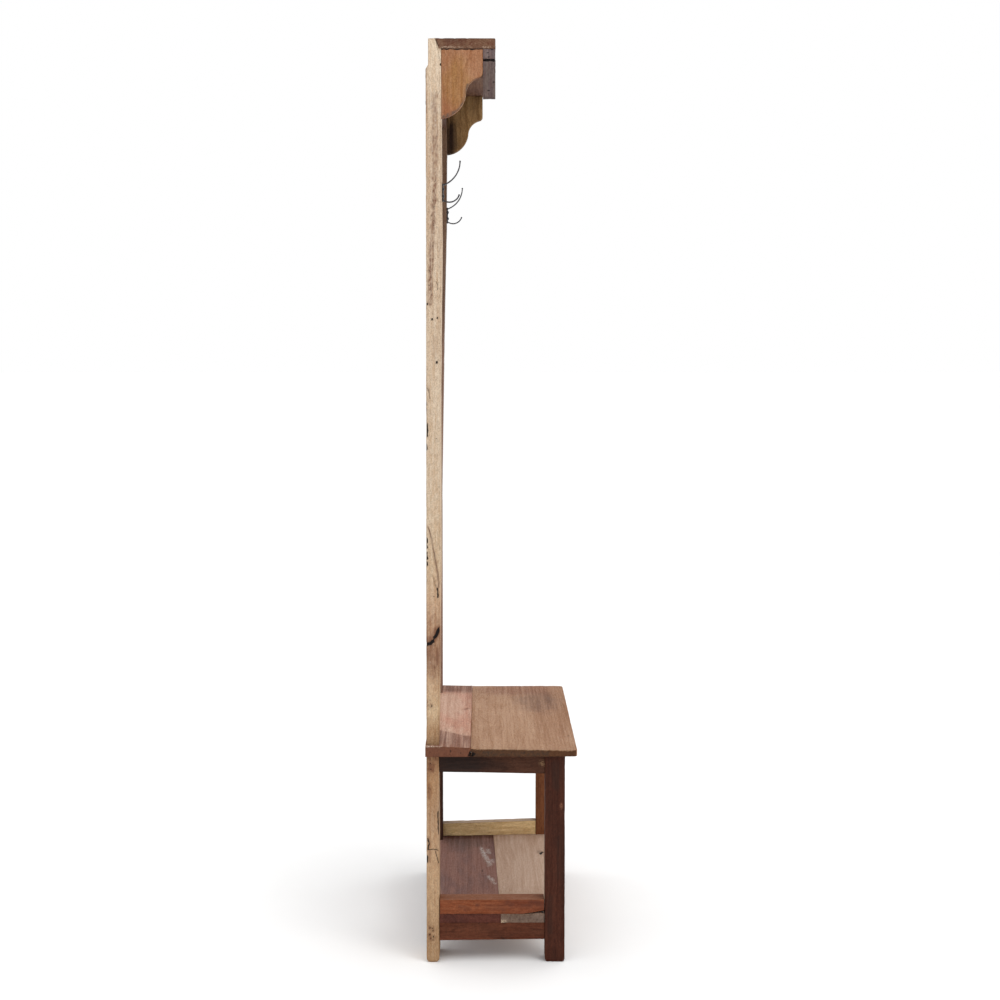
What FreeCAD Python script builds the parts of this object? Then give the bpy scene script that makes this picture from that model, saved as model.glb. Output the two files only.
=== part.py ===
import FreeCAD
import Part
import math
import os

# A narrow hall tree of reclaimed wood: two tall posts, a bench seat with a shelf under it,
# a small crown board on scrolled brackets, and a double coat hook on each post.
#
# Millimetres. +Z is up, X runs across the width and the front faces -Y. The origin is on
# the floor under the middle of the whole. A distance called "forward" is measured towards
# the front from the rear face of the posts at the floor. Left is -X.

# ---------------------------------------------------------------- driving dimensions
HEIGHT = 1800.0  # floor to the top of the posts
FRAME_WIDTH = 610.0  # over the outer faces of the posts and legs
SIDE_OVERHANG = 12.0  # the seat past the frame, at each side
SEAT_REAR = -1.0  # forward of the seat's rear edge
SEAT_FRONT = 297.0  # forward of the seat's front edge

HALF = FRAME_WIDTH / 2
HALF_SEAT = HALF + SIDE_OVERHANG
REAR_FACE_Y = (SEAT_REAR + SEAT_FRONT) / 2
SIDES = (("left", -1), ("right", 1))

POST_WIDTH = 80.0
POST_FOOT_RADIUS = 8.0
POST_INNER = HALF - POST_WIDTH

LEG_WIDTH = 38.0
LEG_REAR = 234.0
LEG_FRONT = 273.5
LEG_FOOT_RADIUS = 6.0
LEG_INNER = HALF - LEG_WIDTH

SEAT_UNDERSIDE = 414.0
SEAT_JOINT = 88.0  # forward of the joint between the two seat boards
SEAT_JOINT_GAP = 0.3
SEAT_CORNER_RADIUS = 9.0
# Height of each seat board's top face at its two long edges (rear edge, front edge), at the
# board's left and right ends: old boards, worn thinner towards the left front corner.
REAR_BOARD_TOP = {"left": (436.5, 432.0), "right": (436.0, 434.0)}
FRONT_BOARD_TOP = {"left": (430.0, 426.5), "right": (433.5, 433.5)}

APRON_THICKNESS = 20.0
APRON_RECESS = 2.0
APRON_BOTTOM_REAR = 381.0
APRON_BOTTOM_FRONT = 377.0

LOWER_RAIL_BOTTOM = 43.0
SHELF_UNDERSIDE = 79.0
SHELF_TOP = 96.5
LOWER_RAIL_WIDTH = 36.0
LOWER_RAIL_RISE = 2.0  # its lower edge, from the rear to the front
SHELF_REAR = 2.0
SHELF_FRONT = 270.0
SHELF_JOINT_LEFT = 147.0  # the joint runs slightly askew across the shelf
SHELF_JOINT_RIGHT = 135.0
SHELF_JOINT_GAP = 0.5

GALLERY_TOP = 125.5
GALLERY_WIDTH = 39.0
GALLERY_CHIP = (40.0, 7.0)  # length and height broken off the left rail's lower front edge
GALLERY_END_GAP = 1.0  # between the left rail's front end and the leg
GALLERY_RIGHT_WIDTH = 24.0
GALLERY_RIGHT_REAR = 255.0  # x of the right rail's inner face at its rear end
GALLERY_RIGHT_FRONT = 268.0  # and at its front end
GALLERY_RIGHT_RISE = 3.0

CROWN_UNDERSIDE = 1780.0
CROWN_FRONT = 137.0
CROWN_REAR = 22.0
CROWN_BEVEL_RUN = 6.5  # how far the rear bevel comes forward from the top board's top face
ARRIS_RADIUS = 1.5
WORN_ARRIS_RADIUS = 3.0
BRACKET_BOTTOM = 1649.5
BRACKET_THICKNESS = 20.0
BRACKET_MIDDLE = HALF - BRACKET_THICKNESS / 2
BRACKET_COVE_RADIUS = 32.5
BRACKET_WAIST_HEIGHT = BRACKET_BOTTOM + 44.5  # where the cove meets the swelling curve
BRACKET_FRONT = 113.0
BRACKET_NOSE_ROUND = 8.0  # how far the rounding of the nose's lower corner reaches
BRACKET_SWELL = (11.0, 25.0)  # the swelling curve's middle, behind and below the waist

# Two blocks, one above the other, stand in front of the left bracket only.
FRONT_BLOCK_WIDTH = 24.0
FRONT_BLOCK_BOTTOM = 1688.0
FRONT_BLOCK_SPLIT = 1759.0
FRONT_BLOCK_GAP = 2.0
FRONT_BLOCK_CORNER_RADIUS = 4.0
FRONT_BLOCK_REAR_RADIUS = 2.0
UPPER_BLOCK_FRONT = CROWN_FRONT - 0.5

HOOK_LEVEL = 1511.5  # middle of the hook's plate
HOOK_FLAT_TOP = 1545  # top of the flat on each post that the hook's plate lies on
HOOK_X = HALF - POST_WIDTH / 2
HOOK_PLATE_HEIGHT = 35.0
HOOK_PLATE_WIDTH = 18.0
HOOK_PLATE_THICKNESS = 3.0
HOOK_PLATE_CORNER = 3.0
PRONG_WIDTH = 7.0
PRONG_THICKNESS = 2.8
PRONG_TIP_RADIUS = 1.9
# Each prong is one arc: its root, a point on its way and its tip, as (proud of the post's
# front face, above the middle of the plate).
UPPER_PRONG = ((1.5, 14.5), (24.0, 30.0), (35.0, 60.0))
LOWER_PRONG = ((1.5, -13.5), (15.5, -18.0), (33.0, -4.5))

TENON_DEPTH = 12.0
TENON_THICKNESS = 10.0
CROSS_TENON_THICKNESS = 8.0
TENON_SHOULDER = 5.0

# Rails that run across the width, as the range that each takes up forward.
FRONT_APRON = (LEG_FRONT - 28.0, LEG_FRONT - 6.0)
REAR_APRON = (2.0, 18.5)
TOP_RAIL = (13.0, 32.0)
TOP_RAIL_BOTTOM = 1700.0

SCREW_HEAD_RADIUS = 4.0
SCREW_SHANK_RADIUS = 2.0
SCREW_RECESS = 5.0  # how far screw heads lie above a rail's underside
SEAT_SCREW_LENGTH = 34.0
SHELF_SCREW_LENGTH = 62.0
BRACKET_SCREW_LENGTH = 58.0
HOOK_SCREW_HEAD_RADIUS = 3.6
HOOK_SCREW_HEAD_HEIGHT = 1.9
HOOK_SCREW_SHANK_RADIUS = 1.6
HOOK_SCREW_LENGTH = 22.0
HOOK_SCREW_OFFSET = 7.0  # each screw above or below the middle of the plate
NAIL_HEAD_RADIUS = 3.0
NAIL_HEAD_HEIGHT = 1.2
NAIL_SHANK_RADIUS = 1.4
CROWN_NAIL_LENGTH = 45.0
BLOCK_NAIL_LENGTH = 42.0

# Where the fasteners of each kind stand.
BRACKET_SCREWS_UP = (30.0, 80.0)  # above the bracket's lowest point
CROWN_NAILS_FORWARD = (55.0, 92.0)
BLOCK_NAILS_DOWN = (7.0, 20.0)  # below the top of the lower block
APRON_SCREWS_FORWARD = (60.0, 125.0, 205.0)
FRONT_APRON_SCREW_X = 120.0
SHELF_SCREWS_FORWARD = (60.0, 115.0, 170.0, 205.0)

# The posts are old planks of uneven thickness: (height, forward) up the front face. Each
# is flat where a hook is screwed on, and from the foot of the bracket up.
POST_FRONT = {
    "left": (
        (0, 26),
        (435, 26),
        (790, 30.5),
        (1100, 30.5),
        (1412, 34),
        (1480, 33.5),
        (HOOK_FLAT_TOP, 33.5),
        (1640, 33),
    ),
    "right": (
        (0, 20.5),
        (900, 20.5),
        (1310, 27.5),
        (1480, 32),
        (HOOK_FLAT_TOP, 32),
        (1640, 33),
    ),
}
POST_FRONT_TOP = 33.0
POST_REAR_LEAN = ((0, 0), (1400, 3), (1742, 3))  # (height, forward) up the rear face
POST_REBATE_FORWARD = 8.0
POST_REBATE_HEIGHT = 1750.0


# ---------------------------------------------------------------- helpers
def at(x, forward, z):
    """The point at x, that far forward of the posts' rear face, and at height z."""
    return FreeCAD.Vector(x, REAR_FACE_Y - forward, z)


def block(x_range, forward_range, z_range):
    """A plain board between two x values, two distances forward and two heights."""
    x_low, x_high = sorted(x_range)
    forward_low, forward_high = sorted(forward_range)
    z_low, z_high = sorted(z_range)
    corner = at(x_low, forward_high, z_low)
    return Part.makeBox(x_high - x_low, forward_high - forward_low, z_high - z_low, corner)


def closed_face(points):
    """A face through 3-D points, where (point, radius) rounds that corner with an arc."""
    corners = [p if isinstance(p, tuple) else (p, 0.0) for p in points]
    ends = []
    for i, (corner, radius) in enumerate(corners):
        to_last = (corners[i - 1][0] - corner).normalize()
        to_next = (corners[(i + 1) % len(corners)][0] - corner).normalize()
        if radius == 0.0:
            ends.append((corner, None, corner))
            continue
        half_turn = to_last.getAngle(to_next) / 2
        cut = radius / math.tan(half_turn)
        middle_way = (to_last + to_next).normalize()
        middle = corner + middle_way * (radius / math.sin(half_turn) - radius)
        ends.append((corner + to_last * cut, middle, corner + to_next * cut))
    edges = []
    for i, (start, middle, end) in enumerate(ends):
        if middle is not None:
            edges.append(Part.Arc(start, middle, end).toShape())
        following = ends[(i + 1) % len(ends)][0]
        edges.append(Part.LineSegment(end, following).toShape())
    return Part.Face(Part.Wire(edges))


def side_profile(points, x_low, x_high):
    """A board whose side view is points of (forward, z) or (forward, z, corner radius)."""
    corners = [(at(x_low, p[0], p[1]), p[2] if len(p) > 2 else 0.0) for p in points]
    return closed_face(corners).extrude(FreeCAD.Vector(x_high - x_low, 0, 0))


def plan_profile(points, z_low, z_high):
    """A board whose plan view is points of (x, forward) or (x, forward, corner radius)."""
    corners = [(at(p[0], p[1], z_low), p[2] if len(p) > 2 else 0.0) for p in points]
    return closed_face(corners).extrude(FreeCAD.Vector(0, 0, z_high - z_low))


def ruled_board(left_end, right_end, x_low, x_high):
    """A board whose four-cornered end sections differ, as (forward, z) points of each."""
    wires = []
    for x, section in ((x_low, left_end), (x_high, right_end)):
        points = [at(x, forward, z) for forward, z in section]
        wires.append(Part.makePolygon(points + points[:1]))
    return Part.makeLoft(wires, True, True)


def side_x(side, inner, outer):
    """The x range between two distances from the middle, on one side of the object."""
    return sorted((side * inner, side * outer))


def solid_of(shape):
    """The single solid left by a cut, without its compound."""
    return max(shape.Solids, key=lambda solid: solid.Volume)


# ---------------------------------------------------------------- tenons
def bench_front_of_post(name):
    """How far forward a post's front face is, at the height of the bench."""
    return POST_FRONT[name][0][1]


def side_tenons(name, side, z_low, z_high):
    """The two tenons of a side rail: one into the post and one into the front leg."""
    middle = HALF - LEG_WIDTH / 2
    x_range = side_x(side, middle - TENON_THICKNESS / 2, middle + TENON_THICKNESS / 2)
    post_face = bench_front_of_post(name)
    z_range = (z_low + TENON_SHOULDER, z_high - TENON_SHOULDER)
    rear = block(x_range, (post_face - TENON_DEPTH, post_face), z_range)
    front = block(x_range, (LEG_REAR, LEG_REAR + TENON_DEPTH), z_range)
    return rear, front


def cross_tenons(inner, forward_middle, z_low, z_high):
    """The two tenons of a rail across the width, which enter the parts at each side."""
    half = CROSS_TENON_THICKNESS / 2
    forward_range = (forward_middle - half, forward_middle + half)
    z_range = (z_low + TENON_SHOULDER, z_high - TENON_SHOULDER)
    return [block(side_x(side, inner, inner + TENON_DEPTH), forward_range, z_range) for _, side in SIDES]


# ---------------------------------------------------------------- posts and legs
def rear_post(name, side):
    """A full-height plank with rounded foot, leaning faces, and a bevel for the crown."""
    foot_front = bench_front_of_post(name)
    outline = [(0, 0, POST_FOOT_RADIUS)]
    outline += [(forward, z) for z, forward in POST_REAR_LEAN[1:]]
    outline.append((POST_REBATE_FORWARD, POST_REBATE_HEIGHT))
    outline.append((POST_REBATE_FORWARD, HEIGHT))
    outline += crown_bevel()
    outline.append((POST_FRONT_TOP, CROWN_UNDERSIDE))
    outline += [(forward, z) for z, forward in reversed(POST_FRONT[name][1:])]
    outline.append((foot_front, 0, POST_FOOT_RADIUS))
    x_low, x_high = side_x(side, POST_INNER, HALF)
    return side_profile(outline, x_low, x_high)


def front_leg(side):
    """A square leg with its foot's corners rounded."""
    outline = [
        (LEG_REAR, 0, LEG_FOOT_RADIUS),
        (LEG_REAR, SEAT_UNDERSIDE),
        (LEG_FRONT, SEAT_UNDERSIDE),
        (LEG_FRONT, 0, LEG_FOOT_RADIUS),
    ]
    x_low, x_high = side_x(side, LEG_INNER, HALF)
    return side_profile(outline, x_low, x_high)


# ---------------------------------------------------------------- bench
def seat_plan():
    """The outline of the whole seat, with rounded front corners, as a tall prism."""
    corners = [
        (-HALF_SEAT, SEAT_REAR),
        (-HALF_SEAT, SEAT_FRONT, SEAT_CORNER_RADIUS),
        (HALF_SEAT, SEAT_FRONT, SEAT_CORNER_RADIUS),
        (HALF_SEAT, SEAT_REAR),
    ]
    return plan_profile(corners, SEAT_UNDERSIDE, SEAT_UNDERSIDE * 2)


def seat_board(rear, front, top):
    """A seat board between two distances forward, with the given heights at its ends."""
    sections = []
    for name, _ in SIDES:
        top_rear, top_front = top[name]
        base = [(rear, SEAT_UNDERSIDE), (front, SEAT_UNDERSIDE)]
        sections.append(base + [(front, top_front), (rear, top_rear)])
    return ruled_board(*sections, -HALF_SEAT, HALF_SEAT)


def seat_rear_board():
    """The narrow rear board, thickest along its rear edge."""
    return seat_board(SEAT_REAR, SEAT_JOINT - SEAT_JOINT_GAP / 2, REAR_BOARD_TOP)


def seat_front_board():
    """The wide front board, which thins towards its left front corner."""
    board = seat_board(SEAT_JOINT + SEAT_JOINT_GAP / 2, SEAT_FRONT, FRONT_BOARD_TOP)
    return solid_of(board.common(seat_plan()))


def side_apron(name, side):
    """The rail under the seat's side, a little recessed, with an uneven lower edge."""
    post_face = bench_front_of_post(name)
    x_low, x_high = side_x(side, HALF - APRON_RECESS - APRON_THICKNESS, HALF - APRON_RECESS)
    outline = [
        (post_face, APRON_BOTTOM_REAR),
        (LEG_REAR, APRON_BOTTOM_FRONT),
        (LEG_REAR, SEAT_UNDERSIDE),
        (post_face, SEAT_UNDERSIDE),
    ]
    rail = side_profile(outline, x_low, x_high)
    return solid_of(rail.fuse(side_tenons(name, side, APRON_BOTTOM_REAR, SEAT_UNDERSIDE)))


def cross_rail(inner, forward_range, z_low, z_high):
    """A rail across the width between two legs or posts, with a tenon at each end."""
    rail = block((-inner, inner), forward_range, (z_low, z_high))
    middle = sum(forward_range) / 2
    return solid_of(rail.fuse(cross_tenons(inner, middle, z_low, z_high)))


# ---------------------------------------------------------------- lower shelf
def lower_rail(name, side):
    """The rail that carries the shelf boards at one side."""
    post_face = bench_front_of_post(name)
    x_low, x_high = side_x(side, HALF - APRON_RECESS - LOWER_RAIL_WIDTH, HALF - APRON_RECESS)
    outline = [
        (post_face, LOWER_RAIL_BOTTOM),
        (LEG_REAR, LOWER_RAIL_BOTTOM + LOWER_RAIL_RISE),
        (LEG_REAR, SHELF_UNDERSIDE),
        (post_face, SHELF_UNDERSIDE),
    ]
    rail = side_profile(outline, x_low, x_high)
    return solid_of(rail.fuse(side_tenons(name, side, LOWER_RAIL_BOTTOM, SHELF_UNDERSIDE)))


def shelf_rear_board():
    """The rear shelf board, notched round both posts."""
    left_face = bench_front_of_post("left")
    right_face = bench_front_of_post("right")
    gap = SHELF_JOINT_GAP / 2
    corners = [
        (-POST_INNER, SHELF_REAR),
        (-POST_INNER, left_face),
        (-HALF, left_face),
        (-HALF, SHELF_JOINT_LEFT - gap),
        (HALF, SHELF_JOINT_RIGHT - gap),
        (HALF, right_face),
        (POST_INNER, right_face),
        (POST_INNER, SHELF_REAR),
    ]
    return plan_profile(corners, SHELF_UNDERSIDE, SHELF_TOP)


def shelf_front_board():
    """The front shelf board, notched round both front legs."""
    gap = SHELF_JOINT_GAP / 2
    corners = [
        (-HALF, SHELF_JOINT_LEFT + gap),
        (-HALF, LEG_REAR),
        (-LEG_INNER, LEG_REAR),
        (-LEG_INNER, SHELF_FRONT),
        (LEG_INNER, SHELF_FRONT),
        (LEG_INNER, LEG_REAR),
        (HALF, LEG_REAR),
        (HALF, SHELF_JOINT_RIGHT + gap),
    ]
    return plan_profile(corners, SHELF_UNDERSIDE, SHELF_TOP)


def gallery_rail_left():
    """A wide bar on the shelf's left end, flush with the frame, its lower front edge chipped."""
    rear = bench_front_of_post("left")
    front = LEG_REAR - GALLERY_END_GAP
    chip_length, chip_height = GALLERY_CHIP
    outline = [
        (rear, SHELF_TOP),
        (front - chip_length, SHELF_TOP),
        (front, SHELF_TOP + chip_height),
        (front, GALLERY_TOP, WORN_ARRIS_RADIUS),
        (rear, GALLERY_TOP),
    ]
    return side_profile(outline, -HALF, GALLERY_WIDTH - HALF)


def gallery_rail_right():
    """A narrower bar on the shelf's right end, set askew and rising a little to the front."""
    rear = bench_front_of_post("right")
    corners = [
        (GALLERY_RIGHT_REAR, rear),
        (GALLERY_RIGHT_FRONT, LEG_REAR),
        (GALLERY_RIGHT_FRONT + GALLERY_RIGHT_WIDTH, LEG_REAR),
        (GALLERY_RIGHT_REAR + GALLERY_RIGHT_WIDTH, rear),
    ]
    bar = plan_profile(corners, SHELF_TOP, GALLERY_TOP + GALLERY_RIGHT_RISE)
    side_view = [
        (rear, SHELF_TOP),
        (LEG_REAR, SHELF_TOP),
        (LEG_REAR, GALLERY_TOP + GALLERY_RIGHT_RISE),
        (rear, GALLERY_TOP),
    ]
    return solid_of(bar.common(side_profile(side_view, LEG_INNER - GALLERY_WIDTH, HALF)))


# ---------------------------------------------------------------- crown
def crown_bevel():
    """The slanting seat that the crown board's rear edge beds against in the posts."""
    return [(CROWN_REAR, HEIGHT), (CROWN_REAR + CROWN_BEVEL_RUN, CROWN_UNDERSIDE)]


def top_board():
    """The crown's top board, from the bevel in the posts forward over both brackets."""
    outline = crown_bevel()
    outline.append((CROWN_FRONT, CROWN_UNDERSIDE, ARRIS_RADIUS))
    outline.append((CROWN_FRONT, HEIGHT, WORN_ARRIS_RADIUS))
    return side_profile(outline, -HALF, HALF)


def front_block_upper():
    """The short block under the top board's front left corner."""
    bottom = FRONT_BLOCK_SPLIT + FRONT_BLOCK_GAP
    outline = [
        (BRACKET_FRONT, CROWN_UNDERSIDE),
        (UPPER_BLOCK_FRONT, CROWN_UNDERSIDE),
        (UPPER_BLOCK_FRONT, bottom, ARRIS_RADIUS),
        (BRACKET_FRONT, bottom),
    ]
    return side_profile(outline, -HALF, FRONT_BLOCK_WIDTH - HALF)


def front_block_lower():
    """The longer upright block below it, with a rounded lower front corner."""
    outline = [
        (BRACKET_FRONT, FRONT_BLOCK_SPLIT),
        (CROWN_FRONT, FRONT_BLOCK_SPLIT, ARRIS_RADIUS),
        (CROWN_FRONT, FRONT_BLOCK_BOTTOM, FRONT_BLOCK_CORNER_RADIUS),
        (BRACKET_FRONT, FRONT_BLOCK_BOTTOM, FRONT_BLOCK_REAR_RADIUS),
    ]
    return side_profile(outline, -HALF, FRONT_BLOCK_WIDTH - HALF)


def bracket(side):
    """A scrolled bracket: a short nose, a hollow quarter round, and a full swelling curve."""
    x_low, x_high = side_x(side, HALF - BRACKET_THICKNESS, HALF)
    cove = BRACKET_COVE_RADIUS
    round_off = BRACKET_NOSE_ROUND
    waist_forward = BRACKET_FRONT - cove
    nose_height = BRACKET_WAIST_HEIGHT + cove
    inset = cove * (1 - math.sqrt(0.5))
    drop = cove - math.sqrt(cove**2 - round_off**2)
    cove_end = at(x_low, waist_forward, BRACKET_WAIST_HEIGHT)
    nose_under = at(x_low, BRACKET_FRONT - round_off, nose_height - drop)
    nose_front = at(x_low, BRACKET_FRONT, nose_height + round_off)
    # The nose's rounding is tangent to its front face, and ends on the cove.
    fall = round_off + drop
    radius = (round_off**2 + fall**2) / (2 * round_off)
    turn = math.atan2(fall, radius - round_off) / 2
    middle_forward = BRACKET_FRONT - radius * (1 - math.cos(turn))
    nose_middle = at(x_low, middle_forward, nose_height + round_off - radius * math.sin(turn))
    rear_bottom = at(x_low, POST_FRONT_TOP, BRACKET_BOTTOM)
    rear_top = at(x_low, POST_FRONT_TOP, CROWN_UNDERSIDE)
    front_top = at(x_low, BRACKET_FRONT, CROWN_UNDERSIDE)
    cove_middle = at(x_low, waist_forward + inset, nose_height - inset)
    swell_back, swell_drop = BRACKET_SWELL
    swell_middle = at(x_low, waist_forward - swell_back, BRACKET_WAIST_HEIGHT - swell_drop)
    edges = [
        Part.LineSegment(rear_bottom, rear_top).toShape(),
        Part.LineSegment(rear_top, front_top).toShape(),
        Part.LineSegment(front_top, nose_front).toShape(),
        Part.Arc(nose_front, nose_middle, nose_under).toShape(),
        Part.Arc(nose_under, cove_middle, cove_end).toShape(),
        Part.Arc(cove_end, swell_middle, rear_bottom).toShape(),
    ]
    return Part.Face(Part.Wire(edges)).extrude(FreeCAD.Vector(x_high - x_low, 0, 0))


# ---------------------------------------------------------------- coat hooks
def prong(points, face, x_middle):
    """A flat bar bent to the arc through three points, with a thicker rounded tip."""
    x_low = x_middle - PRONG_WIDTH / 2
    root, middle, tip = [at(x_low, face + proud, HOOK_LEVEL + up) for proud, up in points]
    circle = Part.Arc(root, middle, tip).toShape().Curve
    centre = circle.Center
    half = PRONG_THICKNESS / 2
    edges = []
    rims = []
    for grow in (-half, half):
        scale = (circle.Radius + grow) / circle.Radius
        rims.append([centre + (p - centre) * scale for p in (root, middle, tip)])
        edges.append(Part.Arc(*rims[-1]).toShape())
    edges.insert(1, Part.LineSegment(rims[0][2], rims[1][2]).toShape())
    edges.append(Part.LineSegment(rims[1][0], rims[0][0]).toShape())
    across = FreeCAD.Vector(PRONG_WIDTH, 0, 0)
    bar = Part.Face(Part.Wire(edges)).extrude(across)
    bead = Part.makeCylinder(PRONG_TIP_RADIUS, PRONG_WIDTH, tip, FreeCAD.Vector(1, 0, 0))
    return bar.fuse(bead)


def hook_face(name):
    """How far forward the flat for the hook is on a post."""
    return dict(POST_FRONT[name])[HOOK_FLAT_TOP]


def hook(name, side):
    """A plate with an upper hat prong and a lower coat prong."""
    x_middle = side * HOOK_X
    face = hook_face(name)
    half = HOOK_PLATE_WIDTH / 2
    corner = HOOK_PLATE_CORNER
    z_low = HOOK_LEVEL - HOOK_PLATE_HEIGHT / 2
    z_high = HOOK_LEVEL + HOOK_PLATE_HEIGHT / 2
    rim = [
        (at(x_middle - half, face, z_low), corner),
        (at(x_middle + half, face, z_low), corner),
        (at(x_middle + half, face, z_high), corner),
        (at(x_middle - half, face, z_high), corner),
    ]
    plate = closed_face(rim).extrude(FreeCAD.Vector(0, -HOOK_PLATE_THICKNESS, 0))
    prongs = [prong(points, face, x_middle) for points in (UPPER_PRONG, LOWER_PRONG)]
    inside_post = (face - HOOK_PLATE_THICKNESS * 2, face)
    behind = block((x_middle - half, x_middle + half), inside_post, (z_low, z_high))
    return solid_of(plate.fuse(prongs).cut(behind))


# ---------------------------------------------------------------- fasteners
REARWARD = FreeCAD.Vector(0, 1, 0)
FRONTWARD = FreeCAD.Vector(0, -1, 0)
UPWARD = FreeCAD.Vector(0, 0, 1)
DOWNWARD = FreeCAD.Vector(0, 0, -1)


def sunk_screw(start, direction, length):
    """A wood screw whose flat head tapers into the shank and lies flush at start."""
    taper = SCREW_HEAD_RADIUS - SCREW_SHANK_RADIUS
    head = Part.makeCone(SCREW_HEAD_RADIUS, SCREW_SHANK_RADIUS, taper, start, direction)
    return head.fuse(Part.makeCylinder(SCREW_SHANK_RADIUS, length, start, direction)).removeSplitter()


def domed_screw(start, direction, length):
    """A wood screw whose low round head stands proud, with its underside at start."""
    height = HOOK_SCREW_HEAD_HEIGHT
    ball_radius = (HOOK_SCREW_HEAD_RADIUS**2 + height**2) / (2 * height)
    ball = Part.makeSphere(ball_radius, start + direction * (ball_radius - height))
    outside = Part.makeCylinder(ball_radius, ball_radius, start - direction * ball_radius, direction)
    return ball.common(outside).fuse(Part.makeCylinder(HOOK_SCREW_SHANK_RADIUS, length, start, direction))


def nail(start, direction, length):
    """A round nail whose flat head is set flush at start."""
    head = Part.makeCylinder(NAIL_HEAD_RADIUS, NAIL_HEAD_HEIGHT, start, direction)
    return head.fuse(Part.makeCylinder(NAIL_SHANK_RADIUS, length, start, direction))


def hook_screws():
    """Two round-headed screws through each hook's plate into its post."""
    screws = []
    for name, side in SIDES:
        plate_front = hook_face(name) + HOOK_PLATE_THICKNESS
        for up in (-HOOK_SCREW_OFFSET, HOOK_SCREW_OFFSET):
            start = at(side * HOOK_X, plate_front, HOOK_LEVEL + up)
            screws.append(domed_screw(start, REARWARD, HOOK_SCREW_LENGTH))
    return screws


def bracket_screws():
    """Two long screws through each post from behind, into the bracket's rear edge."""
    rear = POST_REAR_LEAN[-1][1]
    screws = []
    for _, side in SIDES:
        for up in BRACKET_SCREWS_UP:
            start = at(side * BRACKET_MIDDLE, rear, BRACKET_BOTTOM + up)
            screws.append(sunk_screw(start, FRONTWARD, BRACKET_SCREW_LENGTH))
    return screws


def crown_nails():
    """Nails down through the top board, two into each bracket."""
    nails = []
    for _, side in SIDES:
        for forward in CROWN_NAILS_FORWARD:
            start = at(side * BRACKET_MIDDLE, forward, HEIGHT)
            nails.append(nail(start, DOWNWARD, CROWN_NAIL_LENGTH))
    return nails


def block_nails():
    """Nails from the front through the blocks into the left bracket: one above, two below."""
    upper = (CROWN_UNDERSIDE + FRONT_BLOCK_SPLIT + FRONT_BLOCK_GAP) / 2
    places = [(UPPER_BLOCK_FRONT, upper)]
    places += [(CROWN_FRONT, FRONT_BLOCK_SPLIT - down) for down in BLOCK_NAILS_DOWN]
    x = -BRACKET_MIDDLE
    return [nail(at(x, forward, z), REARWARD, BLOCK_NAIL_LENGTH) for forward, z in places]


def seat_screws():
    """Screws up through the side and cross aprons into the seat boards."""
    side_middle = HALF - APRON_RECESS - APRON_THICKNESS / 2
    front_middle = sum(FRONT_APRON) / 2
    places = [(side * side_middle, forward) for _, side in SIDES for forward in APRON_SCREWS_FORWARD]
    places += [(side * FRONT_APRON_SCREW_X, front_middle) for _, side in SIDES]
    level = APRON_BOTTOM_REAR + SCREW_RECESS
    return [sunk_screw(at(x, forward, level), UPWARD, SEAT_SCREW_LENGTH) for x, forward in places]


def shelf_screws():
    """Long screws up through each lower rail and shelf board into the gallery rail."""
    left_x = -HALF + GALLERY_WIDTH / 2
    right_x = (GALLERY_RIGHT_REAR + GALLERY_RIGHT_FRONT + GALLERY_RIGHT_WIDTH) / 2
    level = LOWER_RAIL_BOTTOM + LOWER_RAIL_RISE + SCREW_RECESS
    places = [(x, forward) for x in (left_x, right_x) for forward in SHELF_SCREWS_FORWARD]
    return [sunk_screw(at(x, forward, level), UPWARD, SHELF_SCREW_LENGTH) for x, forward in places]


# ---------------------------------------------------------------- assembly
def wooden_pieces():
    """Every board, by node name, before the holes for its fasteners."""
    pieces = {}
    for name, side in SIDES:
        pieces["rear_post_" + name] = rear_post(name, side)
        pieces["front_leg_" + name] = front_leg(side)
        pieces["side_apron_" + name] = side_apron(name, side)
        pieces["lower_rail_" + name] = lower_rail(name, side)
        pieces["crown_bracket_" + name] = bracket(side)
    pieces["front_apron"] = cross_rail(LEG_INNER, FRONT_APRON, APRON_BOTTOM_REAR, SEAT_UNDERSIDE)
    pieces["rear_apron"] = cross_rail(POST_INNER, REAR_APRON, APRON_BOTTOM_REAR, SEAT_UNDERSIDE)
    pieces["seat_rear_board"] = seat_rear_board()
    pieces["seat_front_board"] = seat_front_board()
    pieces["shelf_rear_board"] = shelf_rear_board()
    pieces["shelf_front_board"] = shelf_front_board()
    pieces["gallery_rail_left"] = gallery_rail_left()
    pieces["gallery_rail_right"] = gallery_rail_right()
    pieces["crown_top_board"] = top_board()
    pieces["front_block_upper"] = front_block_upper()
    pieces["front_block_lower"] = front_block_lower()
    pieces["top_rail"] = cross_rail(POST_INNER, TOP_RAIL, TOP_RAIL_BOTTOM, CROWN_UNDERSIDE)
    return pieces


def cut_mortises(pieces):
    """Mortises in the posts and legs for the tenons, and the posts' notches in the seat."""
    tenoned = ["front_apron", "rear_apron", "top_rail"]
    for name, _ in SIDES:
        tenoned += ["side_apron_" + name, "lower_rail_" + name]
    rails = [pieces[node] for node in tenoned]
    for name, _ in SIDES:
        for node in ("rear_post_" + name, "front_leg_" + name):
            pieces[node] = solid_of(pieces[node].cut(rails))
    posts = [pieces["rear_post_" + name] for name, _ in SIDES]
    pieces["seat_rear_board"] = solid_of(pieces["seat_rear_board"].cut(posts))


def recess_for(screws):
    """The round recesses that let screw heads lie above the underside of a rail."""
    reach = SCREW_RECESS * 2
    recesses = []
    for screw in screws:
        box = screw.BoundBox
        start = FreeCAD.Vector(box.Center.x, box.Center.y, box.ZMin - reach)
        recesses.append(Part.makeCylinder(SCREW_HEAD_RADIUS, reach, start, UPWARD))
    return recesses


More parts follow.
